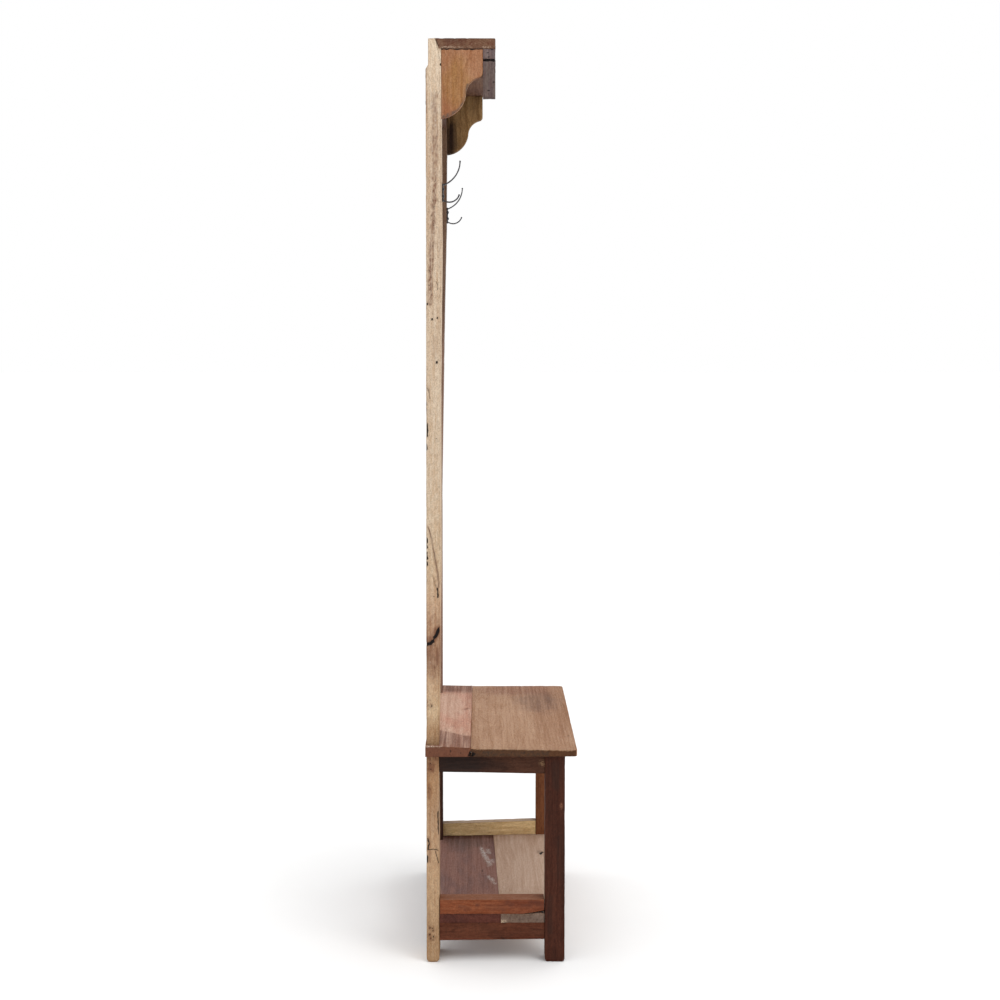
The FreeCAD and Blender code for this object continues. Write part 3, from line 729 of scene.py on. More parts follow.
def iron():
    """Blackened forged iron: uneven scale, a little rust, and bare grey on the edges."""
    nodes = Nodes("forged_iron")
    place = nodes.place()
    dents = nodes.noise(place, 260, 2.0)
    scale = nodes.noise(place, 900, 4.0, 0.65)
    rust = nodes.level(nodes.noise(place, 120, 4.0, 0.7), 0.58, 0.72)
    colour = nodes.mix(scale, (0.018, 0.018, 0.021, 1), (0.06, 0.06, 0.066, 1))
    colour = nodes.mix(nodes.times(rust, 0.45), colour, (0.09, 0.045, 0.025, 1))
    bare = nodes.times(nodes.attribute("edge"), nodes.level(dents, 0.4, 0.65))
    colour = nodes.mix(bare, colour, (0.2, 0.2, 0.21, 1))
    rough = nodes.plus(nodes.times(scale, 0.35), 0.32)
    rough = nodes.plus(rough, nodes.times(rust, 0.2), clamp=True)
    height = nodes.plus(nodes.times(dents, 1.0), nodes.times(scale, 0.3))
    return nodes.finish(colour, rough, height, bump=0.25 * MM, metallic=0.85, specular=0.5)


def old_steel():
    """Dull zinc-plated steel of screws and nails, with rust in patches."""
    nodes = Nodes("old_steel")
    place = nodes.place()
    grime = nodes.noise(place, 420, 4.0, 0.7)
    rust = nodes.level(nodes.noise(place, 230, 4.0, 0.65), 0.45, 0.62)
    colour = nodes.mix(grime, (0.10, 0.095, 0.09, 1), (0.32, 0.31, 0.29, 1))
    colour = nodes.mix(nodes.times(rust, 0.8), colour, (0.10, 0.045, 0.022, 1))
    rough = nodes.plus(nodes.times(grime, 0.3), 0.35)
    return nodes.finish(colour, rough, grime, bump=0.15 * MM, metallic=0.8, specular=0.5)


def paint(piece, material):
    """Gives a piece its one material."""
    piece.data.materials.clear()
    piece.data.materials.append(material)
    return piece


# ---------------------------------------------------------------- posts
def left_post_marks(marks):
    """The knots, cracks and stains of the left post, down its outer face."""
    side = side_face(marks, LEFT_X, THROUGH)
    # A speckled reddish streak wanders down the middle of the upper half.
    side.mottled(8, 0.7, (19, 1690), (21, 1600), (21, 1530), pits=0.3, flecks=0.7)
    side.mottled(6, 0.95, (21, 1530), (18.5, 1480), (15.5, 1440), (13, 1373), (11.5, 1330), (11, 1296),
                 pits=0.6, flecks=0.3)
    side.mottled(3, 0.1, (17, 1700), (18, 1680), flecks=1.0)
    side.stain(7, 0.6, (1, 1660), (0.5, 1745))
    # A painted shadow along the front arris.
    side.stain(4, 0.4, (29, 1437), (28.5, 1373))
    # Small dark spots and short curled checks below the streak.
    spots = ((15.4, 1266, 3.4, 0.8), (24.5, 1269, 3.2, 0.9), (20, 1265, 3.0, 0.4), (5, 1296, 3.4, 0.9),
             (23.4, 1184, 3.6, 1.0), (22, 1037, 2.6, 0.6), (23, 1156, 2.0, 0.4), (17.5, 1251, 2.4, 0.4))
    for forward, z, size, strength in spots:
        side.crack(size, 1.0, strength, (forward, z), squeeze=(0.35, 1, 0.8))
    side.crack(1.8, 0.8, 0.55, (23, 1338), (26, 1332), (25, 1322))
    side.crack(1.8, 1.0, 0.55, (5, 1135), (8, 1128), (10, 1114))
    for forward, z in ((21, 1078), (23, 1068), (20, 1060), (22, 1050)):
        side.crack(1.2, 0.4, 0.3, (forward - 2, z), (forward + 2, z - 6))
    side.stain(7, 0.22, (20, 1233), (21, 1194))
    # Bark and rough wood left along the rear arris.
    bark = ((1104, 2, 2.4), (1092, 2, 2.0), (1053, 11, 3.6), (1020, 4, 2.6),
            (838, 4, 2.4), (826, 2, 3.6), (808, 6, 2.4), (792, 3, 2.0))
    for z, reach, size in bark:
        side.crack(1.2 * size, 1.4, 0.9, (2.5, z + reach), (3.5, z - reach), squeeze=(1.3, 1, 0.8))
    # A long brown check that runs down to a V, with a dark streak under it.
    long_check = ((5.5, 865), (12.4, 842), (16.1, 817), (21.1, 792), (24.9, 767), (26, 747), (23.5, 743))
    side.stain(3.6, 0.6, *long_check)
    side.crack(1.3, 0.8, 0.55, *long_check)
    side.crack(1.3, 0.8, 0.55, (13.6, 771), (17.4, 757), (22.4, 744))
    side.crack(3.0, 1.2, 0.75, (23.6, 744), (24.4, 727))
    side.crack(2.6, 0.9, 0.6, (17, 729))
    # The largest knot: a black split right across the plank, with red-brown wood round it.
    side.stain(11, 0.75, (24, 664), (14, 646), (3, 640), squeeze=(0.35, 1, 0.9), core=0.3)
    for forward, z in ((8, 676), (13, 688), (19, 680)):
        side.mottled(5, 0.4, (forward, z), (forward + 6, z + 4))
    side.crack(4.8, 2.6, 1.0, (26, 665), (23, 655), (18, 647))
    side.crack(5.2, 2.8, 1.0, (15, 640), (9, 635), (2, 635))
    side.crack(2.4, 1.6, 1.0, (19, 648), (14, 639))
    side.mottled(12, 0.6, (8, 622), (12, 590), (14, 578), pits=0.25, flecks=0.2)
    side.stain(4, 0.7, (23, 627), (23, 595))
    side.stain(6, 0.9, (15, 590))
    # Smaller knots, as uneven red-brown blotches with a darker middle.
    knots = ((5, 516, 7), (13, 390, 6), (8, 395, 4), (6, 408, 3), (21, 408, 3), (6, 346, 4))
    for forward, z, size in knots:
        side.mottled(size * 1.7, 0.85, (forward, z + size / 2), (forward + 1, z - size / 2), pits=0.8)
    side.stain(5, 0.5, (6, 357), (6, 330))
    # A dark check along the front arris, and a black crossing crack between shelf and seat.
    side.crack(2.6, 1.2, 0.7, (24, 303), (23, 290), (25, 258))
    side.crack(2.2, 1.4, 0.85, (3, 249), (6, 238), (3.5, 226))
    side.crack(2.0, 1.1, 0.7, (4, 226), (14, 227), (24, 225))
    side.crack(1.9, 1.1, 0.7, (18, 223), (20.5, 213), (24.5, 200))
    side.crack(3.4, 1.8, 1.0, (1.5, 213), (1.5, 202))
    side.stain(7, 0.5, (4, 250), (5, 205))
    # A cluster of small knots near the foot.
    for place in ((7, 69), (12, 68), (13, 63), (7, 56), (14, 52), (9, 48), (13, 45)):
        side.stain(6, 0.75, place)
        side.crack(2.4, 1.2, 0.8, place)
    side.crack(1.6, 0.6, 0.6, (16, 98))
    # The check at the top, down from the crown's bevel, and a nick in the front arris.
    side.crack(1.0, 0.8, 0.55, (21.5, 1799), (27, 1779), (31.5, 1756))
    side.crack(3.0, 1.8, 1.0, (32.5, 1751))


def right_post_marks(marks):
    """A few knots and checks of the right post, on its inner face."""
    side = side_face(marks, corners_of("rear_post_right")[0][X])
    for place in ((9, 1240), (14, 930), (8, 640), (12, 300)):
        side.stain(12, 0.7, place, squeeze=(0.4, 1, 0.7))
        side.crack(2.6, 1.2, 1.0, place, squeeze=(0.4, 1, 0.8))
    for forward, top, bottom in ((15, 1180, 1060), (6, 860, 790), (11, 560, 505)):
        side.crack(1.1, 0.9, 1.0, (forward, top), (forward + 1.5, bottom), squeeze=(0.6, 1, 1))


def post(name, x_face, marks, step, seed):
    """A full-height plank that follows the CAD outline of its side view."""
    front, rear = outline_of(name, x_face)
    crown_lines = (CROWN_UNDERSIDE - 0.3 * MM, CROWN_UNDERSIDE + 0.3 * MM)
    return board(name, Z, step=step, ease=2.0, extra=((), (), crown_lines), seed=seed,
                 shape=follow(Y, Z, front, rear), marks=marks, uneven=0.6, nick=1.0,
                 tight=((Y, -1, BRACKET_BOTTOM),))


CROWN_UNDERSIDE = corners_of("front_block_upper")[1][Z]
BRACKET_BOTTOM = corners_of("crown_bracket_left")[0][Z]

# The posts' colours by height in millimetres.
LEFT_POST_ZONES = (
    (0, (166, 138, 107)), (60, (164, 136, 106)), (130, (182, 155, 125)), (220, (180, 152, 123)),
    (300, (168, 140, 113)), (360, (166, 133, 101)), (400, (145, 111, 84)), (440, (150, 122, 94)),
    (465, (164, 134, 104)), (510, (198, 176, 147)), (560, (189, 163, 135)), (620, (151, 121, 100)),
    (660, (166, 135, 110)), (700, (187, 160, 135)), (790, (198, 179, 154)), (950, (203, 187, 166)),
    (1250, (201, 184, 163)), (1600, (199, 180, 159)), (1800, (216, 201, 180)),
)
# Below the seat, up to 400 mm, the right post's colour is far darker: painted shade under the seat.
RIGHT_POST_ZONES = (
    (0, (70, 44, 32)), (400, (66, 42, 32)), (436, (140, 112, 98)), (700, (144, 118, 104)),
    (1200, (134, 110, 96)), (1310, (114, 94, 80)), (1480, (106, 84, 68)), (1800, (97, 74, 57)),
)


def build_posts():
    """Both posts."""
    pale = wood("post_wood", Z, (198, 175, 145), dark=(0.74, 0.62, 0.52), ring=0.35, streak=0.55,
                fibre=0.35, gap=7, pith=(-260, 40), zones=LEFT_POST_ZONES, stain=(96, 54, 38),
                edge=(0.72, 0.66, 0.60), gloss=0.72)
    left = post("rear_post_left", LEFT_X, left_post_marks, (2.2, 4, 1.3), 21)
    paint(left, pale)
    dark = wood("post_wood_dark", Z, (110, 84, 66), dark=(0.62, 0.52, 0.46), ring=0.45, streak=0.7,
                fibre=0.5, gap=6, pith=(330, 60), zones=RIGHT_POST_ZONES, stain=(52, 34, 26),
                gloss=0.68)
    right = post("rear_post_right", RIGHT_X, right_post_marks, (4, 4, 1.8), 22)
    paint(right, dark)


# ---------------------------------------------------------------- legs and rails
def left_leg_marks(marks):
    """A pale nick in the outer face, darker wood lower down, and a painted shadow just under the seat's
    edge.
    """
    side = side_face(marks, LEFT_X)
    side.pale(4, 0.8, (266, 315), (266.5, 311))
    side.stain(14, 0.7, (256, 396), (257, 352))
    # A painted shadow line under the seat's overhanging edge.
    side.stain(5, 0.9, (240, 414), (273, 414))
    side.stain(11, 0.55, (263, 250), (262, 170))
    side.stain(9, 0.5, (243, 130), (245, 60))


def build_legs():
    """The two front legs."""
    tones = {
        "left": wood("leg_wood", Z, (73, 38, 25), dark=(0.55, 0.44, 0.40), ring=0.4, gap=5,
                     pith=(-200, 20), gloss=0.6, blotch=((50, 27, 19), 0.6),
                     edge=(1.15, 1.05, 0.95), stain=(42, 28, 22), pale=(150, 104, 80)),
        "right": wood("leg_wood_light", Z, (121, 75, 46), dark=(0.60, 0.50, 0.44), ring=0.4, gap=5,
                      pith=(220, 30), gloss=0.6, blotch=((78, 43, 26), 0.5)),
    }
    for name, side in SIDES:
        node = "front_leg_" + name
        outer = (LEFT_X, RIGHT_X)[side > 0]
        front, rear = outline_of(node, outer)
        leg = board(node, Z, step=(4, 3, 2.5), ease=1.8, shape=follow(Y, Z, front, rear), seed=31 + side,
                    marks=left_leg_marks if side < 0 else None, tight=((Z, 1),))
        paint(leg, tones[name])


def rail_edges(node, face_x):
    """The lower edge of a side rail from its CAD side face, and its level upper edge."""
    low, high = corners_of(node)
    face = face_points(node, face_x)
    under = face[face[:, Z] < (low[Z] + high[Z]) / 2]
    under = under[np.argsort(under[:, Y])]
    return partial(np.interp, xp=under[:, Y], fp=under[:, Z]), straight(high[Z])


def side_range(node):
    """The box of a side rail between its shoulders, and the x of its outer side face."""
    low, high = corners_of(node)
    outer = low[X] if low[X] < 0 else high[X]
    face = face_points(node, outer)
    low[Y] = face[:, Y].min()
    high[Y] = face[:, Y].max()
    return low, high, outer


def build_side_rails():
    """The rails at each side, under the seat and under the shelf."""
    apron = wood("apron_wood", Y, (79, 50, 36), dark=(0.55, 0.48, 0.44), ring=0.4, gap=5,
                 pith=(60, 420), gloss=0.6, blotch=((46, 31, 26), 0.7), edge=(1.2, 1.1, 1.0),
                 pale=(150, 120, 88), stain=(30, 22, 20))
    lower = wood("lower_rail_wood", Y, (95, 53, 35), dark=(0.52, 0.42, 0.36), ring=0.4, gap=6,
                 pith=(80, 20), gloss=0.6, blotch=((70, 44, 34), 0.55),
                 edge=(1.2, 1.12, 1.0))
    for name, side in SIDES:
        for kind, material in (("side_apron_", apron), ("lower_rail_", lower)):
            node = kind + name
            low, high, outer = side_range(node)
            rail = board(node, Y, low=low, high=high, step=(4, 3, 3), ease=1.4, seed=41 + side,
                         shape=follow(Z, Y, *rail_edges(node, outer)), marks=RAIL_MARKS.get(node),
                         tight=((Z, 1),))
            paint(rail, material)


def left_apron_marks(marks):
    """A pale fleck by the leg, a dark patch by the post, and a painted shadow along the top, under the seat.
    """
    top = corners_of("side_apron_left")[1][Z] / MM
    side_face(marks, LEFT_X + 2 * MM).pale(7, 0.5, (226, 400), (231, 396))
    side = side_face(marks, LEFT_X)
    side.stain(45, 0.8, (45, 398), (80, 394))
    # A painted shadow line along the top, under the seat.
    side.crack(3.0, 0.4, 0.9, (34, top), (240, top))


def left_lower_rail_marks(marks):
    """A dark streak, a nick in the lower edge, and a dark line along the top, under the shelf."""
    top = corners_of("lower_rail_left")[1][Z] / MM
    side = side_face(marks, LEFT_X)
    side.stain(12, 0.9, (120, 66), (150, 60))
    side.crack(2.4, 0.5, 0.9, (34, top), (240, top))
    side_face(marks, LEFT_X + 2 * MM).crack(2.4, 1.5, 1.0, (148, 47), (152, 46))


RAIL_MARKS = {"side_apron_left": left_apron_marks, "lower_rail_left": left_lower_rail_marks}


def build_cross_rails():
    """The rails across the width, under the seat and behind the crown."""
    material = wood("rail_wood", X, (88, 60, 46), dark=(0.56, 0.48, 0.42), ring=0.45, gap=5,
                    pith=(-150, 300), gloss=0.62, blotch=((58, 40, 32), 0.6), edge=(1.15, 1.08, 1.0))
    reach = {
        "front_apron": "front_leg_",
        "rear_apron": "rear_post_",
        "top_rail": "rear_post_",
    }
    for seed, (node, holder) in enumerate(reach.items()):
        low, high = corners_of(node)
        low[X] = corners_of(holder + "left")[1][X]
        high[X] = corners_of(holder + "right")[0][X]
        rail = board(node, X, low=low, high=high, step=(6, 3, 3.5), ease=1.6, seed=51 + seed,
                     tight=((Z, 1),))
        paint(rail, material)


# ---------------------------------------------------------------- seat
def seat_notches():
    """The holes in the rear seat board that the posts pass through."""
    notches = []
    for name, side in SIDES:
        post_low, post_high = corners_of("rear_post_" + name)
        front, rear = outline_of("rear_post_" + name, (LEFT_X, RIGHT_X)[side > 0])
        height = np.array([corners_of("seat_rear_board")[0][Z] + 10 * MM])
        low = (post_low[X], front(height)[0], 0)
        high = (post_high[X], rear(height)[0], 1)
        notches.append((low, high))
    return notches


def notch_lines(notches):
    """Grid lines that the notches' walls lie on."""
    return (
        sorted({v for low, high in notches for v in (low[X], high[X])}),
        sorted({v for low, high in notches for v in (low[Y], high[Y])}),
        (),
    )


def rear_seat_marks(marks):
    """Painted shadows of the posts at both ends, a knot by the joint, old dents, and pale specks and a
    painted highlight along the near end's top arris.
    """
    # Painted shadows that the posts cast forward over the seat: a dark band at the near end, with a slanting
    # edge, and one at the far end.
    forward = (REAR_Y - marks.points[:, Y]) / MM
    near_shadow_edge = np.interp(forward, (27, 86), (-0.167, -0.217))
    marks.add_area(near_shadow_edge - marks.points[:, X], 0.95)
    marks.add_area(marks.points[:, X] - 0.235, 0.75, softness=12)
    top = top_face(marks, 435)
    top.stain(12, 0.9, (-0.32, 84), (-0.22, 84), squeeze=(0.4, 1, 1))
    top.stain(12, 0.25, (0.10, 82), (0.24, 80), squeeze=(0.4, 1, 1))
    top.stain(8, 0.8, (0.05, 74), (0.062, 82), squeeze=(0.6, 1, 1))
    top.crack(2.6, 0.7, 0.7, (0.052, 77), (0.06, 80), squeeze=(0.6, 1, 1))
    for x, forward in ((-0.13, 50), (-0.08, 66), (-0.20, 70), (0.0, 60), (-0.16, 34), (0.12, 66)):
        top.stain(6, 0.35, (x, forward), (x + 9 * MM, forward + 2))
    end = side_face(marks, corners_of("seat_rear_board")[0][X])
    end.stain(9, 0.35, (4, 425), (84, 423))
    end.crack(4.2, 3.5, 1.0, (87, 417), (88, 421), squeeze=(0.5, 1, 1))
    # Pale specks along the top arris of the near end, with a painted highlight along that arris.
    end.pale(3.2, 1.0, (1, 436), (30, 436))
    end.pale(2.2, 0.6, (30, 436), (84, 436))
    for forward, z in ((12, 424), (30, 421), (47, 426), (63, 420)):
        end.mottled(6, 0.9, (forward, z), (forward + 9, z - 2), pits=0.7)


def front_seat_marks(marks):
    """Pale scratches, a nick by the front edge, the hole at the joint, and a painted highlight along the
    end's top arris.
    """
    top = top_face(marks, 431)
    top.pale(1.8, 0.9, (-0.094, 122), (-0.088, 132))
    top.pale(1.6, 0.8, (-0.106, 128), (-0.100, 139))
    top_face(marks, 429).crack(2.6, 0.9, 0.8, (-0.192, 284), (-0.188, 287))
    end = side_face(marks, corners_of("seat_front_board")[0][X])
    end.crack(4.6, 3.5, 1.0, (90, 416), (93, 420), squeeze=(0.5, 1, 1))
    end.mottled(9, 0.9, (92, 421), (235, 420), pits=0.5)
    # A painted highlight along the top arris of the near end.
    arris = [(forward, 430 - 3.3 * (forward - 90) / 200) for forward in (96, 160, 290)]
    end.pale(1.8, 0.35, *arris[:2])
    end.pale(1.9, 0.6, *arris[1:])


SEAT_CORNER = 9 * MM  # the radius of the seat's front corners in plan


def build_seat():
    """The two boards of the seat."""
    # A painted shadow of the far post over the far end of the rear seat board.
    far_post_shadow = ((0.22, 0.0, 0.40), (0.36, 0.16, 0.45), (124, 84, 64), 0.8)
    # Its end factor darkens the end faces far past end grain's own tone: end grain plus painted shade.
    pink = wood("seat_rear_wood", X, (188, 155, 135), dark=(0.70, 0.60, 0.55), ring=0.35, gap=5,
                pith=(-40, 260), gloss=0.55, blotch=((180, 122, 100), 0.5), patch=(far_post_shadow,),
                edge=(0.75, 0.64, 0.58), end=(0.245, 0.16, 0.135), stain=(108, 68, 50),
                pale=(222, 204, 186))
    darker_places = (
        ((-0.36, -0.17, 0.40), (0.42, -0.06, 0.45), (146, 106, 76), 0.8),
        ((0.0, -0.149, 0.40), (0.30, -0.02, 0.45), (112, 82, 66), 0.7),
        ((0.19, -0.16, 0.40), (0.36, 0.07, 0.45), (132, 88, 66), 0.75),
    )
    # Its end factor darkens the end faces far past end grain's own tone: end grain plus painted shade.
    tan = wood("seat_front_wood", X, (168, 133, 105), dark=(0.70, 0.62, 0.55), ring=0.35, gap=6,
               pith=(70, 330), gloss=0.55, blotch=((150, 112, 84), 0.5), stain=(56, 44, 35),
               edge=(0.75, 0.66, 0.58), end=(0.25, 0.185, 0.135), patch=darker_places,
               pale=(206, 170, 136))
    notches = seat_notches()
    rear = board("seat_rear_board", X, step=(5, 2.5, 2.2), ease=2.0, notches=notches,
                 extra=notch_lines(notches), shape=uneven_top("seat_rear_board"),
                 marks=rear_seat_marks, seed=61, nick=1.0, tight=((Y, -1),))
    paint(rear, pink)
    front = board("seat_front_board", X, step=(5, 2.5, 2.2), ease=2.2,
                  shape=rounded_corners(uneven_top("seat_front_board"), SEAT_CORNER),
                  marks=front_seat_marks, seed=62, nick=1.0, tight=((Y, 1),))
    paint(front, tan)


# ---------------------------------------------------------------- shelf
def shelf_shape(node, joint_is_front):
    """A shelf board whose one long edge is the joint, which runs a little askew."""
    low, high = corners_of(node)
    pick = np.min if joint_is_front else np.max
    ends = [pick(face_points(node, x)[:, Y]) for x in (LEFT_X, RIGHT_X)]
    joint = partial(np.interp, xp=(LEFT_X, RIGHT_X), fp=ends)
    if joint_is_front:
        return follow(Y, X, joint, straight(high[Y]))
    return follow(Y, X, straight(low[Y]), joint)


def shelf_notches(holder):
    """The corners cut out of a shelf board round the posts or the legs."""
    notches = []
    for name, side in SIDES:
        low, high = corners_of(holder + name)
        if holder == "rear_post_":
            height = np.array([0.09])
            front, _ = outline_of(holder + name, (LEFT_X, RIGHT_X)[side > 0])
            low[Y] = front(height)[0]
            high[Y] = 1
        else:
            low[Y] = -1
        low[Z], high[Z] = 0, 1
        low[X], high[X] = (-1, high[X]) if side < 0 else (low[X], 1)
        notches.append((low, high))
    return notches


def rear_shelf_marks(marks):
    """White plaster smears near the joint, a painted shadow at the far end, and a dent."""
    top = top_face(marks, corners_of("shelf_rear_board")[1][Z] / MM)
    smears = ((-0.087, 133, 18, 10), (-0.070, 127, 12, 9), (-0.105, 137, 8, 6), (0.030, 127, 30, 12),
              (0.060, 122, 26, 13), (0.095, 116, 30, 14), (0.120, 126, 22, 10), (0.135, 112, 20, 10),
              (0.050, 135, 16, 7))
    for x, forward, length, width in smears:
        smear = ((x, forward), (x + length * MM, forward - 3))
        top.mottled(width, 0.0, *smear, squeeze=(0.5, 1, 1), flecks=1.0)
        top.pale(0.55 * width, 0.9, *smear, squeeze=(0.4, 1, 1))
    # A painted shadow across the far end of the board.
    top.stain(40, 0.9, (0.262, 40), (0.262, 130))
    top.crack(1.6, 0.8, 0.7, (-0.03, 110), (0.0, 111))


def front_shelf_marks(marks):
    """A small dark knot hole in the top, and a pale chip and brown mottles on the near end."""
    top = top_face(marks, corners_of("shelf_front_board")[1][Z] / MM)
    top.crack(5.0, 2.2, 1.0, (0.115, 240), (0.125, 243), squeeze=(0.5, 1, 1))
    top.stain(11, 0.6, (0.13, 238), squeeze=(0.5, 1, 1))
    end = side_face(marks, LEFT_X)
    end.pale(6, 0.8, (149, 82), (155, 81))
    for forward, z in ((166, 92), (182, 86), (200, 91), (214, 85)):
        end.mottled(6, 0.9, (forward, z), (forward + 10, z))


def build_shelf():
    """The two boards of the lower shelf."""
    # A painted shade patch over the far part of the rear shelf board.
    shelf_far_shade = ((0.10, 0.0, 0.07), (0.36, 0.14, 0.11), (92, 78, 72), 0.6)
    dark = wood("shelf_rear_wood", X, (141, 106, 95), dark=(0.66, 0.56, 0.54), ring=0.3, gap=6,
                pith=(-90, 200), gloss=0.72, blotch=((112, 90, 88), 0.6), pale=(188, 182, 176),
                edge=(0.8, 0.72, 0.7), end=(0.40, 0.24, 0.20), patch=(shelf_far_shade,))
    light = wood("shelf_front_wood", X, (188, 164, 146), dark=(0.74, 0.66, 0.60), ring=0.35, gap=6,
                 pith=(120, 260), gloss=0.7, blotch=((170, 142, 122), 0.5), edge=(0.85, 0.78, 0.72),
                 end=(0.36, 0.35, 0.36), stain=(78, 62, 54), pale=(196, 172, 144))
    parts = (
        ("shelf_rear_board", True, "rear_post_", dark, rear_shelf_marks, 71),
        ("shelf_front_board", False, "front_leg_", light, front_shelf_marks, 72),
    )
    for node, joint_is_front, holder, material, marks, seed in parts:
        shape = shelf_shape(node, joint_is_front)
        notches = shelf_notches(holder)
        low, high = corners_of(node)
        low[X], high[X] = LEFT_X, RIGHT_X
        inside = [
            [v for v in values if low[axis] < v < high[axis]]
            for axis, values in enumerate(notch_lines(notches))
        ]
        piece = board(node, X, low=low, high=high, step=(5, 3, 3), ease=1.6, notches=notches,
                      extra=inside, shape=keep_notches(shape, notches), marks=marks, seed=seed,
                      tight=((Y, -1 if joint_is_front else 1),))
        paint(piece, material)


NOTCH_REACH = 3 * MM


def keep_notches(shape, notches):
    """The same shape, but with the parts of the board beside a notch left where they are."""

    def kept(points, low, high):
        moved = shape(points, low, high)
        for notch_low, notch_high in notches:
            beside = np.ones(len(points), bool)
            for axis in (X, Y):
                beside &= points[:, axis] >= notch_low[axis] - NOTCH_REACH
                beside &= points[:, axis] <= notch_high[axis] + NOTCH_REACH
            moved[beside, Y] = points[beside, Y]
        return moved

    return kept


def left_gallery_marks(marks):
    """Darker spots along the left bar, and a small knot."""
    side = side_face(marks, corners_of("gallery_rail_left")[0][X])
    side.stain(12, 0.6, (222, 118), (230, 112))
    side.stain(9, 0.5, (118, 112), (150, 108))
    side.stain(7, 0.9, (101, 115))
    side.crack(2.4, 0.6, 0.5, (101, 115))
    mottles = ((160, 118, 8, 8), (66, 110, 20, 5), (190, 113, 14, 6), (206, 121, 10, 5))
    for forward, z, length, size in mottles:
        side.mottled(size, 0.8, (forward, z), (forward + length, z - 2))


def right_gallery_marks(marks):
    """A check along the foot of the right bar's inner face."""
    side_face(marks, corners_of("gallery_rail_right")[0][X]).crack(2.2, 1.5, 1.0, (60, 98), (105, 98))


def gallery_right_shape(points, low, high):
    """The right gallery bar: askew in plan, its top rising towards the front."""
    co = mesh_points("gallery_rail_right")
    front_y, rear_y = low[Y], high[Y]
    ends = []
    for y in (rear_y, front_y):
        face = co[np.abs(co[:, Y] - y) < 0.3 * MM]
        ends.append(np.array((face[:, X].min(), face[:, X].max(), face[:, Z].max())))
    rear, front = ends
    forward = (rear_y - points[:, Y]) / (rear_y - front_y)
    across = (points[:, X] - low[X]) / (high[X] - low[X])
    up = (points[:, Z] - low[Z]) / (high[Z] - low[Z])
    inner, outer, top = (rear + forward[:, None] * (front - rear)).T
    return np.stack([inner + across * (outer - inner), points[:, Y], low[Z] + up * (top - low[Z])], axis=1)


def build_gallery():
    """The low bar on each end of the shelf."""
    orange = wood("gallery_wood", Y, (137, 82, 54), dark=(0.62, 0.48, 0.40), ring=0.45, gap=6,
                  pith=(40, 160), gloss=0.6, blotch=((104, 56, 40), 0.65), top=((152, 108, 82), 0.75),
                  edge=(0.95, 0.90, 0.86), stain=(78, 44, 34))
    low_edge, high_edge = rail_edges("gallery_rail_left", LEFT_X)
    left = board("gallery_rail_left", Y, step=(4, 3, 2.5), ease=2.0,
                 shape=follow(Z, Y, low_edge, high_edge), marks=left_gallery_marks, seed=81)
    paint(left, orange)
    yellow = wood("gallery_wood_pale", Y, (218, 191, 145), dark=(0.70, 0.62, 0.52), ring=0.45, gap=5,
                  pith=(30, 120), gloss=0.7, blotch=((176, 144, 108), 0.5), top=((176, 156, 142), 0.85),
                  edge=(0.82, 0.80, 0.78))
    right = board("gallery_rail_right", Y, step=(4, 3, 2.5), ease=2.0, shape=gallery_right_shape,
                  marks=right_gallery_marks, seed=82)
    paint(right, yellow)


# ---------------------------------------------------------------- crown
def top_board_marks(marks):
    """Mottled reddish streaks that slant down the near end, and a light worn lower arris."""
    end = side_face(marks, corners_of("crown_top_board")[0][X])
    for forward, z, length in ((40, 1795, 9), (58, 1792, 7), (74, 1797, 10), (96, 1796, 12), (104, 1793, 8)):
        end.stain(4, 0.6, (forward, z), (forward + 3, z - length))
    worn = ((34, 26, 0.9), (66, 8, 0.4), (84, 5, 0.3), (113, 7, 0.9), (124, 4, 0.6))
    for forward, length, strength in worn:
        end.pale(2.4, strength, (forward, 1783), (forward + length, 1782.5))
    for forward, z in ((44, 1790), (70, 1793), (90, 1789), (118, 1791)):
        end.mottled(8, 0.7, (forward, z), (forward + 12, z + 2), flecks=0.4, pits=0.4)


def block_marks(node, marks):
    """Short horizontal checks across a front block's left side, and dirt in the blocks' joint."""
    low, high = corners_of(node)
    side = side_face(marks, low[X])
    if node.endswith("lower"):
        joint = high[Z] / MM
        side.crack(3.4, 1.6, 1.0, (112, joint), (134, joint - 1))
    for share, forward in ((0.86, 126), (0.62, 120), (0.40, 130), (0.18, 122)):
        z = (low[Z] + share * (high[Z] - low[Z])) / MM
        side.crack(0.9, 0.5, 1.0, (forward, z), (forward + 5, z + 0.6))
        side.stain(3, 0.5, (forward - 3, z + 4), (forward - 2, z - 9))


